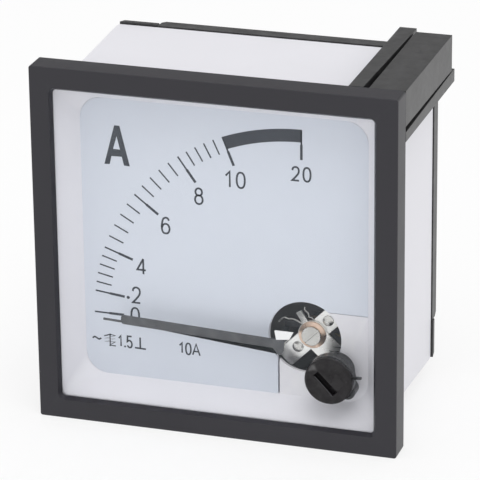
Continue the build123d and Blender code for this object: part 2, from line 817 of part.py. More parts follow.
# Levels of the nuts and washers on the studs, from the boss outwards
boss_rear = case_depth + boss_height
lock_nut_rear = boss_rear + lock_nut_thick
washer_pair_rear = lock_nut_rear + 2 * washer_thick
spring_washer_rear = washer_pair_rear + spring_washer_thick
nut_rear = spring_washer_rear + nut_thick

# Rear cover: plate with terminal bosses behind, posts for the movement in front and countersunk screw holes
stud_centres = [(-stud_spread, stud_height), (stud_spread, stud_height)]
screw_pass_radius = screw_core_radius + screw_pass_play
sink_radius = screw_head_radius + 2 * screw_head_sink
with BuildPart() as rear_cover:
    with BuildSketch(facing(case_depth)):
        RectangleRounded(cover_side, cover_side, cover_corner)
    extrude(amount=cover_thick)
    for stud_x, stud_z in stud_centres:
        ring(stud_x, stud_z, 0, boss_radius, case_depth, boss_rear)
    chamfer(rear_cover.edges().group_by(Axis.Y)[-1], boss_height / 5)
    for stud_x, stud_z in stud_centres:
        ring(stud_x, stud_z, 0, stud_shank_radius + stud_play, cover_front, boss_rear, Mode.SUBTRACT)
    for ear_x, ear_z in ear_centres:
        ring(ear_x, ear_z, 0, cover_post_radius, bobbin_rear, cover_front)
        ring(ear_x, ear_z, 0, small_screw_radius + small_screw_play, bobbin_rear, cover_front, Mode.SUBTRACT)
    for pillar_x, pillar_z in pillar_centres:
        outline = [
            (0, cover_front),
            (screw_pass_radius, cover_front),
            (screw_pass_radius, case_depth - sink_radius + screw_pass_radius),
            (sink_radius, case_depth),
            (0, case_depth),
        ]
        turned(outline, pillar_x, pillar_z, Mode.SUBTRACT)
rear_cover.part.label = "rear_cover"

# Countersunk cross-head screws of the cover
with BuildPart() as cover_screws:
    head_rear = case_depth - screw_head_sink
    for pillar_x, pillar_z in pillar_centres:
        outline = [
            (0, cover_front - screw_length + cover_thick),
            (screw_core_radius, cover_front - screw_length + cover_thick),
            (screw_core_radius, head_rear - screw_head_radius + screw_core_radius),
            (screw_head_radius, head_rear),
            (0, head_rear),
        ]
        turned(outline, pillar_x, pillar_z)
        with BuildSketch(facing(head_rear, pillar_x, pillar_z, 45)):
            Rectangle(screw_head_radius, screw_core_radius / 2)
            Rectangle(screw_core_radius / 2, screw_head_radius)
        extrude(amount=screw_core_radius / 2, mode=Mode.SUBTRACT)
cover_screws.part.label = "cover_screws"

# Zero adjuster: slotted head, groove, body, waist with a lug, journal with a snap lip, and the eccentric pin
with BuildPart() as zero_adjuster:
    adjuster_head_rear = adjuster_front + adjuster_head_thick
    adjuster_groove_rear = adjuster_head_rear + adjuster_groove_width
    shoulder_rear = dial_face - 2 * running_gap
    snap_front = floor_rear + running_gap
    snap_rear = snap_front + adjuster_lip_thick
    outline = [
        (0, adjuster_front),
        (adjuster_radius - adjuster_chamfer, adjuster_front),
        (adjuster_radius, adjuster_front + adjuster_chamfer),
        (adjuster_radius, adjuster_head_rear),
        (adjuster_groove_radius, adjuster_head_rear),
        (adjuster_groove_radius, adjuster_groove_rear),
        (adjuster_radius, adjuster_groove_rear),
        (adjuster_radius, adjuster_body_rear),
        (adjuster_waist_radius, adjuster_body_rear),
        (adjuster_waist_radius, shoulder_rear),
        (adjuster_journal_radius, shoulder_rear),
        (adjuster_journal_radius, snap_front),
        (adjuster_lip_radius, snap_front),
        (adjuster_journal_radius, snap_rear),
        (0, snap_rear),
    ]
    turned(outline, adjuster_x, adjuster_z)
    with BuildSketch(facing(lug_rear, adjuster_x, adjuster_z, lug_angle)):
        Rectangle(lug_reach - lug_radius, 2 * lug_radius, align=(Align.MIN, Align.CENTER))
        with Locations((lug_reach - lug_radius, 0)):
            Circle(lug_radius)
    extrude(amount=lug_rear - adjuster_body_rear)
    with BuildSketch(facing(spur_rear, adjuster_x, adjuster_z, spur_angle)):
        with BuildLine():
            Polyline((0, -spur_width), (0, spur_width), (spur_reach, spur_width / 2), (spur_reach, -spur_width / 2), close=True)
        make_face()
    extrude(amount=spur_rear - spur_front)
    with BuildSketch(facing(adjuster_front + adjuster_slot_depth, adjuster_x, adjuster_z, -45)):
        Rectangle(adjuster_slot_length, adjuster_slot_width)
    extrude(amount=adjuster_slot_depth, mode=Mode.SUBTRACT)
    pin_x, pin_z = at_pivot(adjuster_distance - pin_offset, adjuster_angle)
    ring(pin_x, pin_z, 0, pin_radius, snap_rear, lever_rear + pin_overrun)
zero_adjuster.part.label = "zero_adjuster"

# Terminal studs: hexagon head inside the case, shank out through the cover's boss, free end past a relief
stud_head_rear = cover_front - tag_thick
with BuildPart() as terminal_studs:
    stud_head = hex_piece(hex_across, 0, stud_head_rear - stud_head_thick, stud_head_rear)
    for stud_x, stud_z in stud_centres:
        add(stud_head.moved(Location((stud_x, 0, stud_z))))
        outline = [
            (0, stud_head_rear),
            (stud_shank_radius, stud_head_rear),
            (stud_shank_radius, nut_rear - stud_relief_width),
            (stud_shank_radius - stud_relief_depth, nut_rear - stud_relief_width),
            (stud_shank_radius - stud_relief_depth, nut_rear),
            (stud_shank_radius, nut_rear),
            (stud_shank_radius, stud_end - stud_shank_radius / 4),
            (stud_shank_radius * 0.75, stud_end),
            (0, stud_end),
        ]
        turned(outline, stud_x, stud_z)
terminal_studs.part.label = "terminal_studs"

# Solder tags between the stud heads and the cover
with BuildPart() as terminal_tags:
    for stud_x, stud_z in stud_centres:
        with BuildSketch(facing(cover_front, stud_x, stud_z, 90)):
            Circle(tag_radius)
            Rectangle(tag_reach, tag_width, align=(Align.MIN, Align.CENTER))
            Circle(stud_shank_radius + stud_play, mode=Mode.SUBTRACT)
            with Locations((tag_reach - tag_width / 2, 0)):
                Circle(tag_hole_radius, mode=Mode.SUBTRACT)
        extrude(amount=tag_thick)
terminal_tags.part.label = "terminal_tags"

# Coil leads: stiff wires from the winding to the holes in the solder tags
with BuildPart() as coil_leads:
    for (stud_x, stud_z), angle in zip(stud_centres, lead_angles):
        start_x, start_z = at_pivot(winding_radius + winding_play, angle)
        bend_x, bend_z = at_pivot(winding_radius + lead_standoff, angle)
        hole_z = stud_z + tag_reach - tag_width / 2
        with BuildLine() as route:
            Polyline(
                (start_x, lead_level, start_z),
                (bend_x, lead_level, bend_z),
                (stud_x, lead_level, hole_z),
                (stud_x, cover_front - winding_play, hole_z),
            )
        with BuildSketch(Plane(origin=route.line @ 0, z_dir=route.line % 0)) as wire:
            Circle(lead_radius)
        sweep(wire.sketch, path=route.line, transition=Transition.RIGHT)
coil_leads.part.label = "coil_leads"

# Nuts and washers on each stud, from the boss outwards
stud_bore = stud_shank_radius + stud_play
with BuildPart() as lock_nuts:
    lock_nut = hex_piece(hex_across, stud_bore, boss_rear, lock_nut_rear)
    for stud_x, stud_z in stud_centres:
        add(lock_nut.moved(Location((stud_x, 0, stud_z))))
lock_nuts.part.label = "lock_nuts"

with BuildPart() as lower_washers:
    for stud_x, stud_z in stud_centres:
        ring(stud_x, stud_z, stud_bore, washer_radius, lock_nut_rear, lock_nut_rear + washer_thick)
lower_washers.part.label = "lower_washers"

with BuildPart() as upper_washers:
    for stud_x, stud_z in stud_centres:
        ring(stud_x, stud_z, stud_bore, washer_radius, lock_nut_rear + washer_thick, washer_pair_rear)
upper_washers.part.label = "upper_washers"

with BuildPart() as spring_washers:
    for stud_x, stud_z in stud_centres:
        ring(stud_x, stud_z, stud_bore, spring_washer_radius, washer_pair_rear, spring_washer_rear)
        with BuildSketch(facing(spring_washer_rear, stud_x, stud_z, 20)):
            Rectangle(2 * spring_washer_radius, spring_washer_cut, align=(Align.MIN, Align.CENTER))
        extrude(amount=spring_washer_thick, mode=Mode.SUBTRACT)
spring_washers.part.label = "spring_washers"

with BuildPart() as terminal_nuts:
    terminal_nut = hex_piece(hex_across, stud_bore, spring_washer_rear, nut_rear)
    for stud_x, stud_z in stud_centres:
        add(terminal_nut.moved(Location((stud_x, 0, stud_z))))
terminal_nuts.part.label = "terminal_nuts"


def corner_clamp(reach, thin_tips):
    """Clamp for the top right corner: angle block, two arms behind the case and two sprung tongues."""
    arm_rear = clamp_rear + clamp_arm_thick
    arm_from = clamp_arm_edge - clamp_arm_width
    with BuildPart() as clamp:
        # Angle round the case's corner, closed behind it
        block = clamp_outer - clamp_block_start
        with BuildSketch(facing(clamp_rear + clamp_plate_thick)):
            with Locations((clamp_block_start, clamp_block_start)):
                Rectangle(block, block, align=Align.MIN)
        extrude(amount=clamp_rear + clamp_plate_thick - clamp_block_front)
        with BuildSketch(facing(clamp_rear)):
            Rectangle(2 * clamp_inner, 2 * clamp_inner)
        extrude(amount=clamp_rear - clamp_block_front, mode=Mode.SUBTRACT)
        fillet(clamp.edges().filter_by(Axis.Y).group_by(Axis.X)[-1].sort_by(Axis.Z)[-1], clamp_corner)
        # Arms along the top and the right of the case's rear
        with BuildSketch(facing(arm_rear)):
            with Locations((clamp_arm_edge, clamp_arm_edge)):
                Rectangle(clamp_arm_edge + reach, clamp_arm_width, align=Align.MAX)
                Rectangle(clamp_arm_width, clamp_arm_edge + reach, align=Align.MAX)
        extrude(amount=clamp_arm_thick)
        if thin_tips:
            with BuildSketch(facing(arm_rear)):
                with Locations((-reach, arm_from)):
                    Rectangle(clamp_tip_length, clamp_arm_width, align=Align.MIN)
                with Locations((arm_from, -reach)):
                    Rectangle(clamp_arm_width, clamp_tip_length, align=Align.MIN)
            extrude(amount=clamp_tip_thin, mode=Mode.SUBTRACT)
        end_faces = [clamp.faces().sort_by(Axis.X)[0], clamp.faces().sort_by(Axis.Z)[0]]
        chamfer([face.edges().sort_by(Axis.Y)[-1] for face in end_faces], clamp_tip_chamfer)
        # Knuckles and tongues, each tongue with a few saw teeth at its free end
        tongue_height = clamp_outer - tongue_inner
        knuckle_height = clamp_outer - knuckle_inner
        top_width = tongue_top_to - tongue_top_from
        side_width = tongue_side_to - tongue_side_from
        with BuildSketch(facing(arm_rear)):
            with Locations((tongue_top_from, knuckle_inner)):
                Rectangle(top_width, knuckle_height, align=Align.MIN)
            with Locations((knuckle_inner, tongue_side_from)):
                Rectangle(knuckle_height, side_width, align=Align.MIN)
        extrude(amount=clamp_arm_thick)
        with BuildSketch(facing(clamp_rear)):
            with Locations((tongue_top_from, tongue_inner)):
                Rectangle(top_width, tongue_height, align=Align.MIN)
            with Locations((tongue_inner, tongue_side_from)):
                Rectangle(tongue_height, side_width, align=Align.MIN)
        extrude(amount=clamp_rear - tongue_front)
        pawl_tip = rack_crest + pawl_play
        teeth = []
        for tooth in range(pawl_teeth):
            teeth.append((pawl_front + tooth * rack_pitch, tongue_inner))
            teeth.append((pawl_front + (tooth + 1) * rack_pitch, pawl_tip))
        teeth.append((pawl_front + pawl_teeth * rack_pitch, tongue_inner))
        tooth_base = tongue_inner + tongue_height / 2
        teeth = [(pawl_front, tooth_base)] + teeth + [(pawl_front + pawl_teeth * rack_pitch, tooth_base)]
        with BuildSketch(along_top(tongue_top_from)):
            with BuildLine():
                Polyline(*teeth, close=True)
            make_face()
        extrude(amount=top_width)
        with BuildSketch(along_side(tongue_side_to)):
            with BuildLine():
                Polyline(*teeth, close=True)
            make_face()
        extrude(amount=side_width)
    return clamp.part


with BuildPart() as clamp_top_right:
    add(corner_clamp(clamp_reach_short, False))
clamp_top_right.part.label = "clamp_top_right"

# The clamp of the opposite corner has longer arms with thin tips
with BuildPart() as clamp_bottom_left:
    add(corner_clamp(clamp_reach_long, True).rotate(Axis.Y, 180))
clamp_bottom_left.part.label = "clamp_bottom_left"

os.makedirs("parts", exist_ok=True)
pieces = [
    bezel,
    window_pane,
    case,
    dial_plate,
    front_jewel_screw,
    lever_washer,
    zero_lever,
    hairspring,
    hairspring_collet,
    front_bridge,
    bridge_posts,
    movement_plate,
    spindle,
    pointer,
    pointer_bush,
    balance_weight,
    moving_iron,
    fixed_iron,
    coil_bobbin,
    coil_winding,
    coil_leads,
    rear_jewel_screw,
    rear_lock_nut,
    movement_screws,
    rear_cover,
    cover_screws,
    zero_adjuster,
    terminal_studs,
    terminal_tags,
    lock_nuts,
    lower_washers,
    upper_washers,
    spring_washers,
    terminal_nuts,
    clamp_top_right,
    clamp_bottom_left,
]
for piece in pieces:
    export_step(piece.part, f"parts/{piece.part.label}.step")
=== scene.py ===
import json
from math import atan2, cos, radians, sin
import bmesh
import bpy
import numpy as np
from mathutils import Matrix, Vector


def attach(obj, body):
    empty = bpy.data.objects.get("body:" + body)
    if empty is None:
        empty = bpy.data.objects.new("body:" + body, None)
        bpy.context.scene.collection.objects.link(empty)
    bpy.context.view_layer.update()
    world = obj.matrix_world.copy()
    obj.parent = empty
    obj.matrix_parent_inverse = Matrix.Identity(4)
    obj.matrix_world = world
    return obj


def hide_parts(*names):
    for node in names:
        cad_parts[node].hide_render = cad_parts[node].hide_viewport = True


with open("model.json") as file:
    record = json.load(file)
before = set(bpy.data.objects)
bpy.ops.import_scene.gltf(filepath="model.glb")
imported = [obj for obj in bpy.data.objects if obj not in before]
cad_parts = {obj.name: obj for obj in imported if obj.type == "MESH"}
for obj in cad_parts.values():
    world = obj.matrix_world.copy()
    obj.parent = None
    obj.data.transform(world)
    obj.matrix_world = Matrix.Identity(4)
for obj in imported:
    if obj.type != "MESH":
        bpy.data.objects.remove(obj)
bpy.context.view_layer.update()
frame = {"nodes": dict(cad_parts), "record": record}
nodes = frame["nodes"]
scene = bpy.context.scene
mm = 0.001
bodyOf = {node: body for body, members in frame["record"]["behaviour"]["bodies"].items() for node in members}
print("frame loaded:", len(nodes), "nodes")

# places that several pieces share, in mm: the movement's axis, and the levels along the depth
pivot = {"x": 16.7, "z": -16.55}
depths = {"dialFace": 1.54, "caseRear": 32.9, "bossRear": 35.9}


# Small tools for node trees

def makeGroup(name, takes, gives):
    # an empty shader group with named sockets, each given as (label, kind, starting value)
    group = bpy.data.node_groups.new(name, "ShaderNodeTree")
    for label, kind, value in takes:
        group.interface.new_socket(label, in_out="INPUT", socket_type="NodeSocket" + kind).default_value = value
    for label, kind in gives:
        group.interface.new_socket(label, in_out="OUTPUT", socket_type="NodeSocket" + kind)
    return group, group.nodes.new("NodeGroupInput"), group.nodes.new("NodeGroupOutput")


def wire(tree, source, target):
    tree.links.new(source, target)


def calc(tree, operation, first, second=0.0, clamp=False):
    # one Math node, either side a socket or a number
    node = tree.nodes.new("ShaderNodeMath")
    node.operation = operation
    node.use_clamp = clamp
    for socket, value in zip(node.inputs, (first, second)):
        if isinstance(value, (int, float)):
            socket.default_value = value
        else:
            wire(tree, value, socket)
    return node.outputs[0]


def spread(tree, value, low, high, toLow=0.0, toHigh=1.0):
    # straight line from low..high to toLow..toHigh, held at both ends
    node = tree.nodes.new("ShaderNodeMapRange")
    wire(tree, value, node.inputs["Value"])
    for label, number in (("From Min", low), ("From Max", high), ("To Min", toLow), ("To Max", toHigh)):
        node.inputs[label].default_value = number
    return node.outputs["Result"]


def noise(tree, vector, scale, detail=3.0, rough=0.55):
    node = tree.nodes.new("ShaderNodeTexNoise")
    wire(tree, vector, node.inputs["Vector"])
    if isinstance(scale, (int, float)):
        node.inputs["Scale"].default_value = scale
    else:
        wire(tree, scale, node.inputs["Scale"])
    node.inputs["Detail"].default_value = detail
    node.inputs["Roughness"].default_value = rough
    return node.outputs["Fac"]


def blendColor(tree, factor, first, second, mode="MIX"):
    node = tree.nodes.new("ShaderNodeMix")
    node.data_type = "RGBA"
    node.blend_type = mode
    for socket, value in ((node.inputs[0], factor), (node.inputs[6], first), (node.inputs[7], second)):
        if isinstance(value, (int, float, tuple)):
            socket.default_value = value
        else:
            wire(tree, value, socket)
    return node.outputs[2]


def shade(tree, color, factor):
    # colour times a grey factor that changes over the surface
    node = tree.nodes.new("ShaderNodeVectorMath")
    node.operation = "SCALE"
    wire(tree, color, node.inputs[0])
    wire(tree, factor, node.inputs["Scale"])
    return node.outputs[0]


# Effects that several finishes share

def makeMouldGrain():
    # moulded plastic: broad mottle in the colour and gloss, and a fine grain for the bump
    group, takes, gives = makeGroup(
        "mouldGrain",
        [("Color", "Color", (0.5, 0.5, 0.5, 1)), ("Roughness", "Float", 0.4), ("Grain Scale", "Float", 2600.0),
         ("Mottle", "Float", 0.08), ("Gloss Change", "Float", 0.1)],
        [("Color", "Color"), ("Roughness", "Float"), ("Height", "Float")],
    )
    place = group.nodes.new("ShaderNodeTexCoord").outputs["Object"]
    broad = calc(group, "SUBTRACT", noise(group, place, 90.0, 4.0), 0.5)
    fine = noise(group, place, takes.outputs["Grain Scale"], 2.0)
    factor = calc(group, "ADD", calc(group, "MULTIPLY", broad, takes.outputs["Mottle"]), 1.0)
    wire(group, shade(group, takes.outputs["Color"], factor), gives.inputs["Color"])
    change = calc(group, "MULTIPLY", broad, takes.outputs["Gloss Change"])
    wire(group, calc(group, "ADD", takes.outputs["Roughness"], change, True), gives.inputs["Roughness"])
    wire(group, fine, gives.inputs["Height"])
    return group


def makeEdgeWear():
    # convex edges read from the mesh's pointiness, broken up by noise, lightened towards the worn colour
    group, takes, gives = makeGroup(
        "edgeWear",
        [("Color", "Color", (0.5, 0.5, 0.5, 1)), ("Worn Color", "Color", (0.8, 0.8, 0.8, 1)), ("Amount", "Float", 0.4)],
        [("Color", "Color"), ("Mask", "Float")],
    )
    place = group.nodes.new("ShaderNodeTexCoord").outputs["Object"]
    edge = spread(group, group.nodes.new("ShaderNodeNewGeometry").outputs["Pointiness"], 0.51, 0.6)
    patchy = spread(group, noise(group, place, 420.0, 5.0, 0.65), 0.35, 0.65)
    mask = calc(group, "MULTIPLY", calc(group, "MULTIPLY", edge, patchy), takes.outputs["Amount"], True)
    wire(group, blendColor(group, mask, takes.outputs["Color"], takes.outputs["Worn Color"]), gives.inputs["Color"])
    wire(group, mask, gives.inputs["Mask"])
    return group


def makeRestingDust():
    # dust lies where the surface faces up, in specks and a thin film
    group, takes, gives = makeGroup(
        "restingDust",
        [("Color", "Color", (0.5, 0.5, 0.5, 1)), ("Dust Color", "Color", (0.6, 0.58, 0.55, 1)), ("Amount", "Float", 0.1)],
        [("Color", "Color"), ("Mask", "Float")],
    )
    coord = group.nodes.new("ShaderNodeTexCoord")
    split = group.nodes.new("ShaderNodeSeparateXYZ")
    wire(group, coord.outputs["Normal"], split.inputs[0])
    upward = spread(group, split.outputs["Z"], 0.2, 1.0)
    specks = spread(group, noise(group, coord.outputs["Object"], 900.0, 6.0, 0.7), 0.5, 0.72)
    film = calc(group, "ADD", calc(group, "MULTIPLY", specks, 0.7), 0.3)
    mask = calc(group, "MULTIPLY", calc(group, "MULTIPLY", upward, film), takes.outputs["Amount"], True)
    wire(group, blendColor(group, mask, takes.outputs["Color"], takes.outputs["Dust Color"]), gives.inputs["Color"])
    wire(group, mask, gives.inputs["Mask"])
    return group


def makeDrawnMetal():
    # streaks of drawing or turning: noise squeezed by the Stretch vector, with a little tarnish over it
    group, takes, gives = makeGroup(
        "drawnMetal",
        [("Color", "Color", (0.7, 0.7, 0.7, 1)), ("Tarnish", "Color", (0.3, 0.25, 0.2, 1)), ("Stretch", "Vector", (1, 1, 1)),
         ("Roughness", "Float", 0.3), ("Streaks", "Float", 0.25), ("Tarnish Amount", "Float", 0.2)],
        [("Color", "Color"), ("Roughness", "Float"), ("Height", "Float")],
    )
    place = group.nodes.new("ShaderNodeTexCoord").outputs["Object"]
    squeeze = group.nodes.new("ShaderNodeVectorMath")
    squeeze.operation = "MULTIPLY"
    wire(group, place, squeeze.inputs[0])
    wire(group, takes.outputs["Stretch"], squeeze.inputs[1])
    streak = calc(group, "SUBTRACT", noise(group, squeeze.outputs[0], 900.0, 4.0, 0.6), 0.5)
    patches = spread(group, noise(group, place, 260.0, 5.0, 0.6), 0.45, 0.75)
    tarnished = calc(group, "MULTIPLY", patches, takes.outputs["Tarnish Amount"])
    mixed = blendColor(group, tarnished, takes.outputs["Color"], takes.outputs["Tarnish"])
    factor = calc(group, "ADD", calc(group, "MULTIPLY", streak, 0.2), 1.0)
    wire(group, shade(group, mixed, factor), gives.inputs["Color"])
    rough = calc(group, "ADD", takes.outputs["Roughness"], calc(group, "MULTIPLY", streak, takes.outputs["Streaks"]))
    wire(group, calc(group, "ADD", rough, calc(group, "MULTIPLY", tarnished, 0.4), True), gives.inputs["Roughness"])
    wire(group, streak, gives.inputs["Height"])
    return group


mouldGrain = makeMouldGrain()
edgeWear = makeEdgeWear()
restingDust = makeRestingDust()
drawnMetal = makeDrawnMetal()
print("node groups built")


# Finishes

def startMaterial(name, **sockets):
    # a new material; the numbers that are the same all over go on the shader's own sockets
    finish = bpy.data.materials.new(name)
    finish.use_nodes = True
    tree = finish.node_tree
    shader = tree.nodes["Principled BSDF"]
    for label, value in sockets.items():
        shader.inputs[label.replace("_", " ")].default_value = value
    return finish, tree, shader


def place(tree, group, **values):
    # one use of a shared effect, with this finish's own values
    node = tree.nodes.new("ShaderNodeGroup")
    node.node_tree = group
    for label, value in values.items():
        node.inputs[label.replace("_", " ")].default_value = value
    return node


def addBump(tree, shader, height, distance, strength=1.0):
    bump = tree.nodes.new("ShaderNodeBump")
    bump.inputs["Distance"].default_value = distance
    bump.inputs["Strength"].default_value = strength
    wire(tree, height, bump.inputs["Height"])
    wire(tree, bump.outputs["Normal"], shader.inputs["Normal"])


def mouldedPlastic(name, color, worn, dust, roughness, mottle, wear, dusting, grainScale, grainDepth, gloss=0.5):
    # plastic: grain, then wear along edges, then dust on what faces up
    finish, tree, shader = startMaterial(name, IOR=1.5, Specular_IOR_Level=gloss)
    grain = place(tree, mouldGrain, Color=color, Roughness=roughness, Grain_Scale=grainScale, Mottle=mottle)
    edges = place(tree, edgeWear, Worn_Color=worn, Amount=wear)
    film = place(tree, restingDust, Dust_Color=dust, Amount=dusting)
    wire(tree, grain.outputs["Color"], edges.inputs["Color"])
    wire(tree, edges.outputs["Color"], film.inputs["Color"])
    wire(tree, film.outputs["Color"], shader.inputs["Base Color"])
    wire(tree, grain.outputs["Roughness"], shader.inputs["Roughness"])
    addBump(tree, shader, grain.outputs["Height"], grainDepth)
    return finish


def bareMetal(name, color, tarnish, roughness, stretch, streaks, tarnishAmount, grainDepth):
    # metal: streaks and tarnish, fully metallic
    finish, tree, shader = startMaterial(name, Metallic=1.0)
    drawn = place(tree, drawnMetal, Color=color, Tarnish=tarnish, Roughness=roughness, Stretch=stretch,
                  Streaks=streaks, Tarnish_Amount=tarnishAmount)
    wire(tree, drawn.outputs["Color"], shader.inputs["Base Color"])
    wire(tree, drawn.outputs["Roughness"], shader.inputs["Roughness"])
    addBump(tree, shader, drawn.outputs["Height"], grainDepth)
    return finish


bezelPlastic = mouldedPlastic(
    "bezelPlastic", color=(0.0125, 0.0115, 0.0175, 1), worn=(0.08, 0.08, 0.085, 1), dust=(0.3, 0.3, 0.31, 1),
    roughness=0.42, mottle=0.12, wear=0.05, dusting=0.01, grainScale=2400.0, grainDepth=0.00002, gloss=0.55)
clampPlastic = mouldedPlastic(
    "clampPlastic", color=(0.0125, 0.0125, 0.013, 1), worn=(0.12, 0.12, 0.125, 1), dust=(0.32, 0.32, 0.33, 1),
    roughness=0.38, mottle=0.1, wear=0.35, dusting=0.01, grainScale=1900.0, grainDepth=0.00002, gloss=0.6)
knobPlastic = mouldedPlastic(
    "knobPlastic", color=(0.0075, 0.006, 0.0075, 1), worn=(0.2, 0.2, 0.2, 1), dust=(0.3, 0.3, 0.3, 1),
    roughness=0.27, mottle=0.15, wear=0.5, dusting=0.01, grainScale=2600.0, grainDepth=0.00002, gloss=0.25)
caseMoulding = mouldedPlastic(
    "caseMoulding", color=(0.795, 0.79, 0.835, 1), worn=(0.94, 0.94, 0.935, 1), dust=(0.7, 0.7, 0.68, 1),
    roughness=0.38, mottle=0.025, wear=0.3, dusting=0.03, grainScale=2200.0, grainDepth=0.00002)
bobbinPlastic = mouldedPlastic(
    "bobbinPlastic", color=(0.88, 0.88, 0.87, 1), worn=(0.9, 0.9, 0.88, 1), dust=(0.6, 0.58, 0.54, 1),
    roughness=0.45, mottle=0.05, wear=0.2, dusting=0.05, grainScale=1800.0, grainDepth=0.00002)
scalePaint = mouldedPlastic(
    "scalePaint", color=(0.685, 0.725, 0.808, 1), worn=(0.75, 0.8, 0.85, 1), dust=(0.6, 0.6, 0.6, 1),
    roughness=0.5, mottle=0.02, wear=0.1, dusting=0.02, grainScale=3200.0, grainDepth=0.00001)
printInk = mouldedPlastic(
    "printInk", color=(0.03, 0.035, 0.048, 1), worn=(0.06, 0.07, 0.09, 1), dust=(0.3, 0.3, 0.3, 1),
    roughness=0.55, mottle=0.3, wear=0.1, dusting=0.0, grainScale=3200.0, grainDepth=0.00001)
pointerPaint = mouldedPlastic(
    "pointerPaint", color=(0.045, 0.047, 0.053, 1), worn=(0.35, 0.35, 0.36, 1), dust=(0.4, 0.4, 0.4, 1),
    roughness=0.42, mottle=0.2, wear=0.5, dusting=0.04, grainScale=2600.0, grainDepth=0.00001)
# near-white for the pointer's ear only: a painted highlight that stands for the lit top of the pointer's bent root
paintedHighlightWhite = mouldedPlastic(
    "paintedHighlightWhite", color=(0.95, 0.95, 0.95, 1), worn=(0.9, 0.9, 0.9, 1), dust=(0.6, 0.6, 0.6, 1),
    roughness=0.4, mottle=0.02, wear=0.1, dusting=0.0, grainScale=2600.0, grainDepth=0.00001)
platedSteel = bareMetal(
    "platedSteel", color=(0.66, 0.655, 0.63, 1), tarnish=(0.3, 0.29, 0.27, 1), roughness=0.26,
    stretch=(0.3, 1.0, 2.0), streaks=0.3, tarnishAmount=0.25, grainDepth=0.00001)
brightSteel = bareMetal(
    "brightSteel", color=(0.92, 0.92, 0.9, 1), tarnish=(0.4, 0.4, 0.4, 1), roughness=0.3,
    stretch=(0.3, 1.0, 2.0), streaks=0.3, tarnishAmount=0.15, grainDepth=0.00001)
darkPaint = mouldedPlastic(
    "darkPaint", color=(0.11, 0.105, 0.106, 1), worn=(0.2, 0.2, 0.2, 1), dust=(0.3, 0.3, 0.3, 1),
    roughness=0.5, mottle=0.25, wear=0.2, dusting=0.02, grainScale=1500.0, grainDepth=0.00002)
softIron = bareMetal(
    "softIron", color=(0.4, 0.4, 0.41, 1), tarnish=(0.15, 0.13, 0.12, 1), roughness=0.4,
    stretch=(1.0, 0.2, 1.0), streaks=0.3, tarnishAmount=0.4, grainDepth=0.00001)
brightCopper = bareMetal(
    "brightCopper", color=(0.86, 0.66, 0.53, 1), tarnish=(0.4, 0.22, 0.14, 1), roughness=0.3,
    stretch=(1.0, 1.0, 1.0), streaks=0.25, tarnishAmount=0.3, grainDepth=0.00001)
turnedBrass = bareMetal(
    "turnedBrass", color=(0.72, 0.53, 0.26, 1), tarnish=(0.28, 0.18, 0.07, 1), roughness=0.27,
    stretch=(1.0, 4.0, 1.0), streaks=0.3, tarnishAmount=0.3, grainDepth=0.00001)


def enamelledWire():
    # copper wire under clear brown lacquer: the coat gives the gloss
    finish, tree, shader = startMaterial("enamelledWire", Metallic=0.7, Coat_Weight=0.6, Coat_Roughness=0.12)
    drawn = place(tree, drawnMetal, Color=(0.55, 0.2, 0.09, 1), Tarnish=(0.25, 0.08, 0.04, 1), Roughness=0.35,
                  Stretch=(1, 3, 1), Streaks=0.2, Tarnish_Amount=0.5)
    wire(tree, drawn.outputs["Color"], shader.inputs["Base Color"])
    wire(tree, drawn.outputs["Roughness"], shader.inputs["Roughness"])
    return finish


def clearPane():
    # clear sheet: nearly see-through, with a few faint marks of handling that change the alpha
    finish, tree, shader = startMaterial("clearPane", Roughness=0.04, IOR=1.49)
    shader.inputs["Base Color"].default_value = (0.5, 0.55, 0.6, 1)
    coord = tree.nodes.new("ShaderNodeTexCoord").outputs["Object"]
    smudge = spread(tree, noise(tree, coord, 55.0, 5.0, 0.6), 0.5, 0.8, 0.03, 0.055)
    wire(tree, smudge, shader.inputs["Alpha"])
    return finish


wireLacquer = enamelledWire()
paneSheet = clearPane()
print("finishes built")


# Mesh tools

def gridFaces(rows, cols, closeRows=False, closeCols=False):
    # quads between neighbouring points of a rows x cols grid, wrapped round where a direction is closed
    r = np.arange(rows if closeRows else rows - 1)
    c = np.arange(cols if closeCols else cols - 1)
    R, C = np.meshgrid(r, c, indexing="ij")
    R2, C2 = (R + 1) % rows, (C + 1) % cols
    return np.stack([R * cols + C, R * cols + C2, R2 * cols + C2, R2 * cols + C], -1).reshape(-1, 4)


def newPiece(name, points, faces, finish, body, smooth=True):
    # an object of these points, in mm, riding on a body
    mesh = bpy.data.meshes.new(name)
    mesh.from_pydata((np.asarray(points, float) * mm).tolist(), [], [list(face) for face in faces])
    mesh.polygons.foreach_set("use_smooth", np.full(len(mesh.polygons), smooth))
    mesh.materials.append(finish)
    mesh.update()
    piece = bpy.data.objects.new(name, mesh)
    scene.collection.objects.link(piece)
    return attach(piece, body)


def meshPoints(mesh):
    # a mesh's points as an array, in mm
    flat = np.empty(len(mesh.vertices) * 3)
    mesh.vertices.foreach_get("co", flat)
    return flat.reshape(-1, 3) / mm


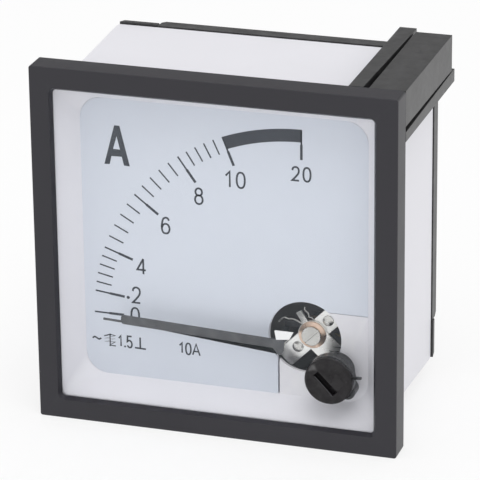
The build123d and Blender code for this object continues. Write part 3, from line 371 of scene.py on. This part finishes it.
def softened(node, finish, bevel, segments=2, sharp=32.0, reshape=None, keep=None):
    # a merged copy of a CAD node, with its sharp edges rounded by a small bevel, apart from those that keep names
    mesh = nodes[node].data.copy()
    mesh.name = node + "Finished"
    if "custom_normal" in mesh.attributes:
        mesh.attributes.remove(mesh.attributes["custom_normal"])
    work = bmesh.new()
    work.from_mesh(mesh)
    bmesh.ops.remove_doubles(work, verts=work.verts, dist=3e-6)
    if reshape:
        flatEnough = radians(0.5)
        bmesh.ops.dissolve_limit(work, angle_limit=flatEnough, verts=work.verts, edges=work.edges)
        work.to_mesh(mesh)
        mesh.vertices.foreach_set("co", (reshape(meshPoints(mesh)) * mm).ravel())
        work.clear()
        work.from_mesh(mesh)
    for edge in work.edges:
        edge.smooth = not edge.is_manifold or edge.calc_face_angle(0.0) < radians(sharp)
    work.to_mesh(mesh)
    work.free()
    mesh.polygons.foreach_set("use_smooth", np.ones(len(mesh.polygons), bool))
    mesh.materials.clear()
    mesh.materials.append(finish)
    piece = bpy.data.objects.new(node + "Finished", mesh)
    scene.collection.objects.link(piece)
    if bevel > 0:
        rounding = piece.modifiers.new("edges", "BEVEL")
        rounding.width = bevel * mm
        rounding.segments = segments
        rounding.limit_method = "WEIGHT"
        ends = np.empty(len(mesh.edges) * 2, int)
        mesh.edges.foreach_get("vertices", ends)
        creased = np.empty(len(mesh.edges), bool)
        mesh.attributes["sharp_edge"].data.foreach_get("value", creased)
        if keep:
            a, b = (meshPoints(mesh)[ends[k::2]] for k in (0, 1))
            creased &= ~(keep(a) & keep(b))
        mesh.attributes.new("bevel_weight_edge", "FLOAT", "EDGE").data.foreach_set("value", creased.astype(np.float32))
        rounding.use_clamp_overlap = False
        rounding.harden_normals = True
    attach(piece, bodyOf[node])
    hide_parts(node)
    return piece


def refinish(node, finish):
    # a CAD node whose shape is right keeps its mesh and gets its finish
    mesh = nodes[node].data
    mesh.materials.clear()
    mesh.materials.append(finish)


# Housing: bezel, case, rear cover and pane

bezelForm = {"half": 36.0, "corner": 0.9, "tightCorner": 0.5, "front": -5.35, "edge": 0.6, "window": 31.75,
             "slopeFront": 0.4, "slopeRear": 0.2, "rightLess": 0.3, "topLess": 0.15, "lip": 1.0}


def fromSquare(p, half, corner):
    # how far points lie inside a rounded square's outline, and the way out across it
    beyond = np.maximum(np.abs(p[:, [0, 2]]) - (half - corner), 0)
    reach = np.linalg.norm(beyond, axis=1)
    out = np.zeros_like(p)
    out[:, [0, 2]] = np.sign(p[:, [0, 2]]) * beyond / np.maximum(reach, 1e-9)[:, None]
    return corner - reach, out


def trueBezel(p):
    # the photograph's tighter outer edges and corners, and its lip that slopes inwards
    f = bezelForm
    behind = p[:, 1] - f["front"]
    inset, out = fromSquare(p, f["half"], f["corner"])
    rounded = (inset < f["edge"] + 0.01) & (behind < f["edge"] + 0.01)
    p[rounded] += out[rounded] * inset[rounded, None] / 2
    p[rounded, 1] -= behind[rounded] / 2
    start = f["half"] - f["corner"]
    atCorner = (inset < f["edge"] + 0.01) & (np.abs(p[:, 0]) > start - 0.01) & (np.abs(p[:, 2]) > start - 0.01)
    flat = p[atCorner][:, [0, 2]]
    tight = f["half"] - f["tightCorner"] + (np.abs(flat) - start) * f["tightCorner"] / f["corner"]
    p[np.ix_(atCorner, [0, 2])] = np.sign(flat) * tight
    inset, out = fromSquare(p, f["window"], f["corner"])
    onLip = (np.abs(inset) < 0.05) & (behind < f["lip"] + 0.01)
    slope = np.where(behind < 0.01, f["slopeFront"], -f["slopeRear"])
    p[onLip] += out[onLip] * slope[onLip, None]
    p[onLip & (p[:, 0] > f["window"] - 1), 0] -= f["rightLess"]
    p[onLip & (p[:, 2] > f["window"] - 1), 2] -= f["topLess"]
    return p


clampForm = {"blockFront": 0.03, "tongueFront": 0.2, "tongueSides": (28.4, 28.5), "tongueLess": 0.6, "blockSide": 28.8,
             "blockMore": 0.2, "tip": 32.3, "tipRise": 0.7, "tipEnds": (32.6, 24.4), "tipIn": 1.3, "armEdge": 32.6,
             "armRise": 0.2, "outer": 35.2, "tight": 35.85}


def seatedClamp(p):
    # the clamp's block touches the bezel, its tongues stand a little freer, and its tips reach the case's top
    f = clampForm
    front = p[:, 1] < 0.31
    block = (p[:, 1] > 0.31) & (p[:, 1] < 0.81)
    start = p.copy()
    for axis in (0, 2):
        way, size = np.sign(start[:, axis]), np.abs(start[:, axis])
        side = front & (np.abs(size - np.mean(f["tongueSides"])) < 0.1)
        p[side, axis] -= way[side] * f["tongueLess"]
        side = block & (np.abs(size - f["blockSide"]) < 0.05)
        p[side, axis] += way[side] * f["blockMore"]
        tip = (start[:, axis] > f["tip"] - 0.9) & (start[:, axis] < f["tip"] + 0.01) & (start[:, 2 - axis] < -24)
        p[tip, axis] += f["tipRise"]
        ends = tip & (np.abs(start[:, 2 - axis]) > f["tipEnds"][0] - 0.05)
        p[ends, 2 - axis] += f["tipIn"] + np.where(start[ends, 1] > 34, 0.7, 0.0)
        p[tip & ~ends, 2 - axis] += 0.8
        arm = (start[:, 1] > 33) & (np.abs(size - f["armEdge"]) < 0.02) & ~tip
        p[arm, axis] += way[arm] * f["armRise"]
    outer = (np.abs(start[:, 0]) > f["outer"] - 0.01) & (np.abs(start[:, 2]) > f["outer"] - 0.01)
    corner = start[outer][:, [0, 2]]
    squeeze = (36 - f["tight"]) / (36 - f["outer"])
    p[np.ix_(outer, [0, 2])] = np.sign(corner) * (f["tight"] + (np.abs(corner) - f["outer"]) * squeeze)
    p[block, 1] = f["blockFront"]
    p[front, 1] = f["tongueFront"]
    return p


def offsetSlot(p):
    # the knob's slot lies a little towards its lower left, as in the photograph
    slot = (p[:, 1] < -3.7) & (np.hypot(p[:, 0] - 22.41, p[:, 2] + 21.86) < 4.2)
    p[slot] += np.array([-0.5, 0.0, -0.45])
    return p


def atSeat(p):
    # the edge between the case's sloped walls and the seat of the plate
    return np.abs(p[:, 1] - 1.54) < 0.02


def snugPlate(p):
    # the scale plate fills its seat: its outer edge grows by the fitting gap
    side = 28.45
    for axis in (0, 2):
        outer = np.abs(p[:, axis]) > side - 0.02
        p[outer, axis] *= (side + 0.05) / side
    return p


softened("bezel", bezelPlastic, 0.05, 2, reshape=trueBezel)
softened("case", caseMoulding, 0.12, 2, keep=atSeat)
softened("rear_cover", caseMoulding, 0.0)
softened("dial_plate", scalePaint, 0.0, reshape=snugPlate)
refinish("window_pane", paneSheet)
for node in ("clamp_top_right", "clamp_bottom_left"):
    softened(node, clampPlastic, 0.06, 2, reshape=seatedClamp)
softened("zero_adjuster", knobPlastic, 0.08, 2, reshape=offsetSlot)
print("housing and clamps finished")


# Print on the scale plate, measured in mm on its face and made of flat ribbons

scalePrint = {
    "centre": (15.40, -16.10), "outer": 42.0, "minorInner": 38.9, "majorMiddle": 39.0, "majorInner": 36.0,
    "minorWidth": 0.28, "majorWidth": 0.32, "majorHeavy": 0.5, "bandInner": 39.47, "bandFrom": 68.5, "bandTo": 90.3,
    "majors": {"0": 0.5, "2": 6.65, "4": 19.6, "6": 37.6, "8": 54.5, "10": 68.4, "20": 90.1},
    "minorsBetween": (("2", "4"), ("4", "6"), ("6", "8"), ("8", "10")),
    "stroke": 0.37, "fineStroke": 0.33, "proud": 0.02, "sheet": 0.05,
}
numeralBoxes = [
    ("0", -19.27, -17.30, -17.51, -13.88), ("2", -18.90, -17.01, -13.12, -9.55), ("4", -17.83, -15.73, -6.97, -3.47),
    ("6", -12.65, -10.71, 2.00, 5.58), ("8", -5.84, -3.96, 8.72, 12.27), ("1", 0.34, 1.51, 12.84, 16.31),
    ("0", 2.52, 4.48, 12.85, 16.32), ("2", 13.47, 15.16, 15.53, 18.59), ("0", 15.66, 17.42, 15.50, 18.62),
]


def smoothLine(points, steps=7, closed=False):
    # Catmull-Rom: each run is the cubic through its two points, with slopes from the next ones out
    p = np.asarray(points, float)
    p = np.vstack([p[-1], p, p[:2]]) if closed else np.vstack([2 * p[0] - p[1], p, 2 * p[-1] - p[-2]])
    t = np.linspace(0, 1, steps, endpoint=False)[None, :, None]
    a, b, c, d = (p[k:len(p) - 3 + k, None, :] for k in range(4))
    curve = 0.5 * (2 * b + (c - a) * t + (2 * a - 5 * b + 4 * c - d) * t ** 2 + (3 * b - a - 3 * c + d) * t ** 3)
    curve = curve.reshape(-1, 2)
    return curve if closed else np.vstack([curve, p[-2]])


def oval(cx, cz, rx, rz, squareness=0.85, count=28):
    # closed oval whose sides are flattened by raising cosine and sine to a power below one
    t = np.linspace(0, 2 * np.pi, count, endpoint=False)
    c, s = np.cos(t), np.sin(t)
    return np.stack([cx + rx * np.sign(c) * np.abs(c) ** squareness, cz + rz * np.sign(s) * np.abs(s) ** squareness], 1)


# each figure's pen lines in a unit box, as (points, closed)
figureLines = {
    "0": [(oval(0.5, 0.5, 0.5, 0.5), True)],
    "1": [(np.array([(0.0, 0.72), (1.0, 1.0), (1.0, 0.0)]), False)],
    "2": [(np.vstack([smoothLine([(0.02, 0.74), (0.14, 0.92), (0.5, 1.0), (0.86, 0.92), (0.98, 0.72), (0.86, 0.5), (0.45, 0.24), (0.0, 0.0)]), [(1.0, 0.0)]]), False)],
    "4": [(np.array([(1.0, 0.27), (0.0, 0.27), (0.72, 1.0)]), False), (np.array([(0.72, 1.0), (0.72, 0.0)]), False)],
    "5": [(np.vstack([[(0.95, 1.0), (0.1, 1.0)], smoothLine([(0.03, 0.52), (0.4, 0.62), (0.8, 0.55), (1.0, 0.3), (0.8, 0.05), (0.4, 0.0), (0.0, 0.16)])]), False)],
    "6": [(smoothLine([(0.94, 0.83), (0.78, 0.96), (0.5, 1.0), (0.18, 0.88), (0.02, 0.55), (0.02, 0.25), (0.18, 0.05), (0.5, 0.0), (0.83, 0.06), (1.0, 0.3), (0.83, 0.54), (0.5, 0.61), (0.18, 0.53), (0.03, 0.36)]), False)],
    "8": [(oval(0.5, 0.77, 0.43, 0.23, 0.95), True), (oval(0.5, 0.28, 0.5, 0.28, 0.95), True)],
}


class FlatPrint:
    # gathers flat shapes on the plate's face, each as points and faces, into one mesh
    def __init__(self):
        self.points, self.faces, self.count = [], [], 0

    def add(self, points, faces):
        self.points.append(np.asarray(points, float))
        self.faces += [[int(k) + self.count for k in face] for face in faces]
        self.count += len(points)

    def line(self, points, width, closed=False):
        # ribbon: each point goes half a width to both sides along the mitre of its two runs
        p = np.asarray(points, float)
        run = (np.roll(p, -1, 0) - p) if closed else np.diff(p, axis=0)
        run = run / np.linalg.norm(run, axis=1)[:, None]
        after = run if closed else np.vstack([run, run[-1]])
        before = np.roll(run, 1, 0) if closed else np.vstack([run[0], run])
        n0, n1 = (np.stack([-v[:, 1], v[:, 0]], 1) for v in (before, after))
        side = (n0 + n1) / np.maximum(1 + (n0 * n1).sum(1), 0.35)[:, None] * width / 2
        self.add(np.stack([p + side, p - side], 1).reshape(-1, 2), gridFaces(len(p), 2, closeRows=closed))

    def disc(self, x, z, radius, count=20):
        t = np.linspace(0, 2 * np.pi, count, endpoint=False)
        self.add(np.stack([x + radius * np.cos(t), z + radius * np.sin(t)], 1), [list(range(count))])

    def figure(self, name, x0, x1, z0, z1, width):
        # a figure's pen lines, stretched to its box less half a stroke on each side
        low, high = np.array([x0, z0]) + width / 2, np.array([x1, z1]) - width / 2
        for points, closed in figureLines[name]:
            self.line(low + points * (high - low), width, closed)


def onScale(radius, degrees):
    # point of the scale: the angle is counted up from the left
    x, z = scalePrint["centre"]
    a = np.radians(degrees)
    return np.stack([x - radius * np.cos(a), z + radius * np.sin(a)], -1)


def printScale():
    ink = FlatPrint()
    s = scalePrint
    for mark, angle in s["majors"].items():
        ink.line(onScale(np.array([s["outer"], s["majorMiddle"]]), angle), s["majorWidth"])
        ink.line(onScale(np.array([s["majorMiddle"], s["majorInner"]]), angle), s["majorHeavy"])
    for low, high in s["minorsBetween"]:
        for angle in np.linspace(s["majors"][low], s["majors"][high], 6)[1:-1]:
            ink.line(onScale(np.array([s["outer"], s["minorInner"]]), angle), s["minorWidth"])
    band = np.linspace(s["bandFrom"], s["bandTo"], 40)
    ink.line(onScale((s["outer"] + s["bandInner"]) / 2, band), s["outer"] - s["bandInner"])
    for name, x0, x1, z0, z1 in numeralBoxes:
        ink.figure(name, x0, x1, z0, z1, s["stroke"])
    ink.disc(-19.64, -12.01, 0.33)
    # the unit's large letter, an outline with its crossbar and gap
    letter = [(-23.78, 15.13), (-22.71, 15.19), (-22.30, 16.87), (-20.23, 16.90), (-19.82, 15.17), (-18.65, 15.11),
              (-20.56, 23.13), (-21.61, 23.14), (-21.18, 20.96), (-20.55, 18.31), (-21.95, 18.35)]
    ink.add(letter, [(0, 1, 2, 10), (0, 10, 8, 7), (2, 3, 9, 10), (3, 4, 5, 9), (9, 5, 6, 8), (8, 6, 7)])
    # symbols along the bottom: alternating current, moving-iron coil, class, upright mounting and range
    fine = s["fineStroke"]
    ink.line(smoothLine([(-27.21, -21.40), (-26.80, -21.10), (-26.35, -21.28), (-25.90, -21.50), (-25.42, -21.26)]), fine)
    ink.line([(-24.80, -20.69), (-23.57, -20.25), (-22.50, -20.40), (-24.70, -21.22), (-22.56, -21.07), (-24.70, -21.86),
              (-22.58, -21.75), (-23.71, -22.55), (-22.45, -22.58)], 0.24)
    ink.line([(-23.60, -20.10), (-23.60, -22.72)], 0.24)
    ink.figure("1", -21.95, -21.20, -22.62, -20.06, fine)
    ink.disc(-20.54, -22.45, 0.2)
    ink.figure("5", -20.24, -18.94, -22.72, -20.04, fine)
    ink.line([(-17.41, -20.20), (-17.41, -22.50)], fine)
    ink.line([(-18.50, -22.45), (-16.25, -22.52)], fine)
    ink.figure("1", -9.50, -8.66, -22.50, -20.12, fine)
    ink.figure("0", -8.22, -6.88, -22.72, -20.06, fine)
    ink.line([(-6.66, -22.50), (-5.95, -20.20), (-5.21, -22.54)], fine)
    ink.line([(-6.42, -21.76), (-5.50, -21.76)], fine * 0.9)
    flat = np.vstack(ink.points)
    points = np.stack([flat[:, 0], np.full(len(flat), depths["dialFace"] - s["proud"]), flat[:, 1]], 1)
    piece = newPiece("scalePrint", points, ink.faces, printInk, "base", smooth=False)
    sheet = piece.modifiers.new("ink", "SOLIDIFY")
    sheet.thickness = s["sheet"] * mm
    sheet.offset = -1


printScale()
print("scale printed")


# Pointer: the ear and the cheek of its root stand where the photograph has them

bar = {"turn": 177.46, "front": -2.0, "rear": -2.3, "lower": 0.13, "start": 2.9, "straight": 3.55}
barMoves = [
    ((9.7, -2.34), (5.62, -2.5)), ((6.0, -2.34), (3.0, -2.5)), ((9.7, -0.94), (5.3, -0.81)), ((6.0, -0.94), (4.2, -0.81)),
    ((4.6, 0.94), (3.76, 1.35)), ((4.6, 2.29), (4.2, 2.27)), ((7.0, 2.29), (4.8, 2.32)), ((8.3, 0.94), (5.9, 1.07)),
]
earCorners = [(5.68, -2.56), (2.05, -2.71), (2.71, -1.21), (5.27, -0.8)]


def barAxes():
    # directions along and down across the pointer's bar
    turn = np.radians(bar["turn"])
    return np.array([[np.cos(turn), np.sin(turn)], [-np.sin(turn), np.cos(turn)]])


def truePointer(p):
    centre = np.array([pivot["x"], pivot["z"]])
    place = (p[:, [0, 2]] - centre) @ barAxes().T
    sheet = p[:, 1] < bar["front"]
    moved = place.copy()
    end = sheet & (place[:, 0] < bar["straight"]) & (np.abs(place[:, 1]) < 0.95)
    moved[sheet, 1] += bar["lower"]
    moved[end, 0] = 3.6 + (place[end, 0] - bar["start"]) * 0.25
    for source, target in barMoves:
        match = sheet & (np.linalg.norm(place - source, axis=1) < 0.03)
        moved[match] = target
    p[:, [0, 2]] = centre + moved @ barAxes()
    return p


def plateFrom(name, corners, front, thick, finish, body):
    # thin plate from its corners, in the bar's axes
    flat = np.array([pivot["x"], pivot["z"]]) + np.asarray(corners) @ barAxes()
    count = len(flat)
    points = np.vstack([np.insert(flat, 1, front, axis=1), np.insert(flat, 1, front + thick, axis=1)])
    sides = [(k, (k + 1) % count, (k + 1) % count + count, k + count) for k in range(count)]
    faces = [tuple(range(count)), tuple(range(2 * count - 1, count - 1, -1))] + sides
    piece = newPiece(name, points, faces, finish, body, smooth=False)
    rounding = piece.modifiers.new("edges", "BEVEL")
    rounding.width = 0.03 * mm


def tube(name, path, depth, radius, finish, body, ripple=0.0):
    # round wire along a smooth path at one depth; ripple swells it like twisted strands
    line = smoothLine(path, 9)
    run = np.gradient(line, axis=0)
    run /= np.linalg.norm(run, axis=1)[:, None]
    across = np.stack([-run[:, 1], run[:, 0]], 1)
    theta = np.linspace(0, 2 * np.pi, 10, endpoint=False)
    steps = np.arange(len(line))
    size = radius * (1 + ripple * np.sin(steps * 1.9)) * np.clip(np.minimum(steps, steps[::-1]) + 0.4, 0, 1)
    side = size[:, None] * np.cos(theta)
    points = np.stack([line[:, :1] + across[:, :1] * side, depth + size[:, None] * np.sin(theta),
                       line[:, 1:] + across[:, 1:] * side], -1).reshape(-1, 3)
    faces = gridFaces(len(line), len(theta), False, True).tolist()
    ends = [list(range(len(theta))), list(range(len(points) - 1, len(points) - len(theta) - 1, -1))]
    piece = newPiece(name, points, faces + ends, finish, body)


softened("pointer", pointerPaint, 0.03, reshape=truePointer)
# the ear's near-white is a painted highlight: a flat plate standing in for the lit top face of the bent root
plateFrom("pointerHighlightEar", earCorners, -2.37, 0.28, paintedHighlightWhite, "moving_element")
tube("rootEdge", [(13.95, -15.35), (13.3, -15.86), (13.08, -16.44), (13.1, -17.3)], -2.25, 0.08, platedSteel,
     "moving_element")
tube("springBand", [(9.89, -14.78), (10.35, -14.21), (11.01, -13.69), (11.87, -13.88), (13.01, -13.9), (14.9, -14.7)], 4.4, 0.17,
     platedSteel, "zero_lever")
tube("springTwist", [(15.17, -11.06), (15.16, -11.71), (15.79, -12.23), (16.01, -13.04), (16.64, -13.17), (17.0, -14.1)], 4.38, 0.13,
     platedSteel, "zero_lever", 0.4)
# a thin tube in the pointer's lighter grey along the slot's lower-left edge: a painted highlight
tube("knobSlotHighlight", [(19.77, -20.93), (21.6, -22.85), (23.42, -24.8)], -4.95, 0.06, pointerPaint, "zero_adjuster")
print("pointer finished")


# Movement seen through the opening

for node, finish, bevel in (
    ("front_jewel_screw", platedSteel, 0.05), ("lever_washer", brightCopper, 0.03), ("zero_lever", brightSteel, 0.04),
    ("front_bridge", brightSteel, 0.06), ("bridge_posts", platedSteel, 0.05), ("movement_plate", darkPaint, 0.06),
    ("pointer_bush", turnedBrass, 0.03), ("balance_weight", turnedBrass, 0.05),
):
    softened(node, finish, bevel)
for node, finish in (
    ("hairspring", brightCopper), ("hairspring_collet", turnedBrass), ("spindle", platedSteel),
    ("moving_iron", softIron), ("fixed_iron", softIron), ("rear_jewel_screw", turnedBrass),
    ("rear_lock_nut", turnedBrass), ("movement_screws", platedSteel), ("coil_bobbin", bobbinPlastic),
    ("terminal_tags", turnedBrass), ("coil_leads", wireLacquer),
):
    refinish(node, finish)
print("movement finished")


# Coil winding: a lathed ring whose outside is scalloped by the turns of wire

winding = {"inner": 6.1, "outer": 10.8, "front": 13.25, "rear": 27.1, "wire": 0.95, "around": 96}


def buildWinding():
    # section: round wire crowns along the outside, radius = outer less a share of (1 - sine of the turn)
    w = winding
    turns = round((w["rear"] - w["front"]) / w["wire"])
    t = np.linspace(0, turns, turns * 8 + 1)
    y = w["front"] + (w["rear"] - w["front"]) * t / turns
    crown = w["outer"] - 0.32 * w["wire"] * (1 - np.abs(np.sin(np.pi * t)) ** 0.7)
    y = np.concatenate([[w["front"]], y, [w["rear"]]])
    radius = np.concatenate([[w["inner"]], crown, [w["inner"]]])
    theta = np.linspace(0, 2 * np.pi, w["around"], endpoint=False)
    R, T = np.meshgrid(radius, theta, indexing="ij")
    Y = np.repeat(y[:, None], len(theta), 1)
    points = np.stack([pivot["x"] + R * np.cos(T), Y, pivot["z"] + R * np.sin(T)], -1).reshape(-1, 3)
    piece = newPiece("coilTurns", points, gridFaces(len(y), len(theta), True, True), wireLacquer, "base")
    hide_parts("coil_winding")


buildWinding()


# Terminal studs: hexagon head and a threaded shank, one surface of radius against angle and depth

stud = {"x": 15.0, "z": 6.0, "headFront": 28.7, "headRear": 30.7, "across": 7.0, "radius": 2.0, "end": 48.9,
        "pitch": 0.7, "threadDepth": 0.38, "around": 72, "reliefFrom": 43.2, "reliefTo": 43.8}


def hexRadius(theta, across):
    # distance to a hexagon's side at an angle
    return across / 2 / np.cos((theta + np.pi / 6) % (np.pi / 3) - np.pi / 6)


def buildStuds():
    # head: the smaller of hexagon and turned-down cone; shank: a saw-tooth of depth against (depth / pitch - angle)
    s = stud
    theta = np.linspace(0, 2 * np.pi, s["around"], endpoint=False)
    corner = s["across"] / 2 / cos(radians(30))
    drop = (corner - s["across"] / 2) * 0.6
    headY = np.array([s["headFront"], s["headFront"], s["headFront"] + drop, s["headRear"] - drop, s["headRear"], s["headRear"]])
    cone = np.array([0.0, s["across"] / 2, corner, corner, s["across"] / 2, s["radius"]])
    head = np.minimum(cone[:, None], hexRadius(theta, s["across"])[None, :])
    shankY = np.linspace(s["headRear"] + 0.05, s["end"] - 0.02, 230)
    turn = (shankY[:, None] / s["pitch"] - theta[None, :] / (2 * np.pi)) % 1.0
    thread = s["radius"] - s["threadDepth"] * np.abs(2 * turn - 1) ** 1.1
    lead = np.clip((s["end"] - shankY) / 0.5, 0, 1)
    shank = np.minimum(thread, (s["radius"] * (0.75 + 0.25 * lead))[:, None])
    relief = (shankY > s["reliefFrom"]) & (shankY < s["reliefTo"])
    shank[relief] = s["radius"] - 0.4
    R = np.vstack([head, shank, np.zeros(len(theta))])
    y = np.concatenate([headY, shankY, [s["end"]]])
    faces = gridFaces(len(y), len(theta), False, True)
    points, allFaces = [], []
    for side in (-1, 1):
        x = side * s["x"] + R * np.cos(theta)
        z = s["z"] + R * np.sin(theta)
        allFaces.append(faces + len(points) * R.size)
        points.append(np.stack([x, np.repeat(y[:, None], len(theta), 1), z], -1).reshape(-1, 3))
    piece = newPiece("threadedStuds", np.vstack(points), np.vstack(allFaces), turnedBrass, "base")
    work = bmesh.new()
    work.from_mesh(piece.data)
    bmesh.ops.remove_doubles(work, verts=work.verts, dist=1e-6)
    bmesh.ops.recalc_face_normals(work, faces=work.faces)
    for edge in work.edges:
        edge.smooth = edge.calc_face_angle(0.0) < radians(40)
    work.to_mesh(piece.data)
    work.free()
    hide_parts("terminal_studs")


buildStuds()
for node, finish, bevel in (
    ("lock_nuts", turnedBrass, 0.08), ("terminal_nuts", turnedBrass, 0.08), ("lower_washers", turnedBrass, 0.06),
    ("upper_washers", turnedBrass, 0.06), ("spring_washers", platedSteel, 0.06), ("cover_screws", platedSteel, 0.06),
):
    softened(node, finish, bevel)
print("terminals finished")


# Camera at the photograph's viewing angle

camera = {"place": (0.190045, -0.574272, 0.243666), "yaw": 0.313758, "pitch": -0.379170, "roll": 0.0121475, "lens": 257.5}


def addCamera():
    turn = Matrix.Rotation(camera["yaw"], 3, "Z") @ Matrix.Rotation(camera["pitch"], 3, "X") @ Matrix.Rotation(camera["roll"], 3, "Y")
    right, forward, up = turn.col
    pose = Matrix((right, up, -forward)).transposed().to_4x4()
    pose.translation = Vector(camera["place"])
    data = bpy.data.cameras.new("photoCamera")
    data.lens = camera["lens"]
    data.sensor_width = 36
    data.clip_start = 0.01
    view = bpy.data.objects.new("photoCamera", data)
    view.matrix_world = pose
    scene.collection.objects.link(view)
    scene.camera = view


addCamera()


# Floor and light

stage = {"level": -0.036, "size": 6.0, "white": 0.93, "lift": 0.75}
card = {"place": (-0.3, 0.9, 0.42), "wide": 1.6, "high": 0.45, "grey": 0.3}
lamps = [
    {"name": "softTop", "place": (0.22, -0.4, 0.92), "size": 0.55, "power": 2.6},
    {"name": "frontFill", "place": (0.1, -1.1, 0.45), "size": 0.9, "power": 0.7},
]


def addStage():
    # white floor: part of what the camera sees of it is its own light, so it stays near white and keeps a shadow
    half = stage["size"] / 2
    mesh = bpy.data.meshes.new("floor")
    mesh.from_pydata([(-half, -half, stage["level"]), (half, -half, stage["level"]), (half, half, stage["level"]), (-half, half, stage["level"])], [], [(0, 1, 2, 3)])
    floor = bpy.data.objects.new("floor", mesh)
    scene.collection.objects.link(floor)
    finish, tree, shader = startMaterial("paleFloor", Roughness=0.9, Specular_IOR_Level=0.1)
    shader.inputs["Base Color"].default_value = (stage["white"],) * 3 + (1,)
    glow = tree.nodes.new("ShaderNodeEmission")
    path = tree.nodes.new("ShaderNodeLightPath")
    mix = tree.nodes.new("ShaderNodeMixShader")
    seen = calc(tree, "MAXIMUM", calc(tree, "MAXIMUM", path.outputs["Is Camera Ray"], path.outputs["Is Glossy Ray"]), path.outputs["Is Transmission Ray"])
    wire(tree, calc(tree, "MULTIPLY", seen, stage["lift"]), mix.inputs[0])
    wire(tree, shader.outputs[0], mix.inputs[1])
    wire(tree, glow.outputs[0], mix.inputs[2])
    wire(tree, mix.outputs[0], tree.nodes["Material Output"].inputs["Surface"])
    mesh.materials.append(finish)


def addCard():
    # dark card above and behind, seen only in reflections, so black top faces don't mirror the pale room
    mesh = bpy.data.meshes.new("darkCard")
    wide, high = card["wide"] / 2, card["high"] / 2
    mesh.from_pydata([(-wide, -high, 0), (wide, -high, 0), (wide, high, 0), (-wide, high, 0)], [], [(0, 1, 2, 3)])
    piece = bpy.data.objects.new("darkCard", mesh)
    piece.location = card["place"]
    piece.rotation_euler = (-Vector(card["place"])).to_track_quat("Z", "Y").to_euler()
    scene.collection.objects.link(piece)
    finish, tree, shader = startMaterial("cardGrey", Roughness=0.9, Specular_IOR_Level=0.0)
    shader.inputs["Base Color"].default_value = (card["grey"],) * 3 + (1,)
    mesh.materials.append(finish)
    piece.visible_camera = False
    piece.visible_diffuse = False
    piece.visible_shadow = False
    piece.visible_transmission = False


def addWorld():
    # even pale surround: white to the camera, a little less as light
    world = bpy.data.worlds.new("paleRoom")
    scene.world = world
    world.use_nodes = True
    tree = world.node_tree
    background = tree.nodes["Background"]
    path = tree.nodes.new("ShaderNodeLightPath")
    seen = calc(tree, "MAXIMUM", calc(tree, "MAXIMUM", path.outputs["Is Camera Ray"], path.outputs["Is Glossy Ray"]), path.outputs["Is Transmission Ray"])
    background.inputs["Color"].default_value = (1, 1, 1, 1)
    wire(tree, spread(tree, seen, 0.0, 1.0, 0.85, 1.0), background.inputs["Strength"])


def addLamps():
    for lamp in lamps:
        data = bpy.data.lights.new(lamp["name"], "AREA")
        data.size = lamp["size"]
        data.energy = lamp["power"]
        light = bpy.data.objects.new(lamp["name"], data)
        light.location = lamp["place"]
        light.visible_glossy = False
        light.rotation_euler = (-Vector(lamp["place"])).to_track_quat("-Z", "Y").to_euler()
        scene.collection.objects.link(light)


addStage()
addCard()
addWorld()
addLamps()
scene.view_settings.view_transform = "Standard"
print("stage lit")
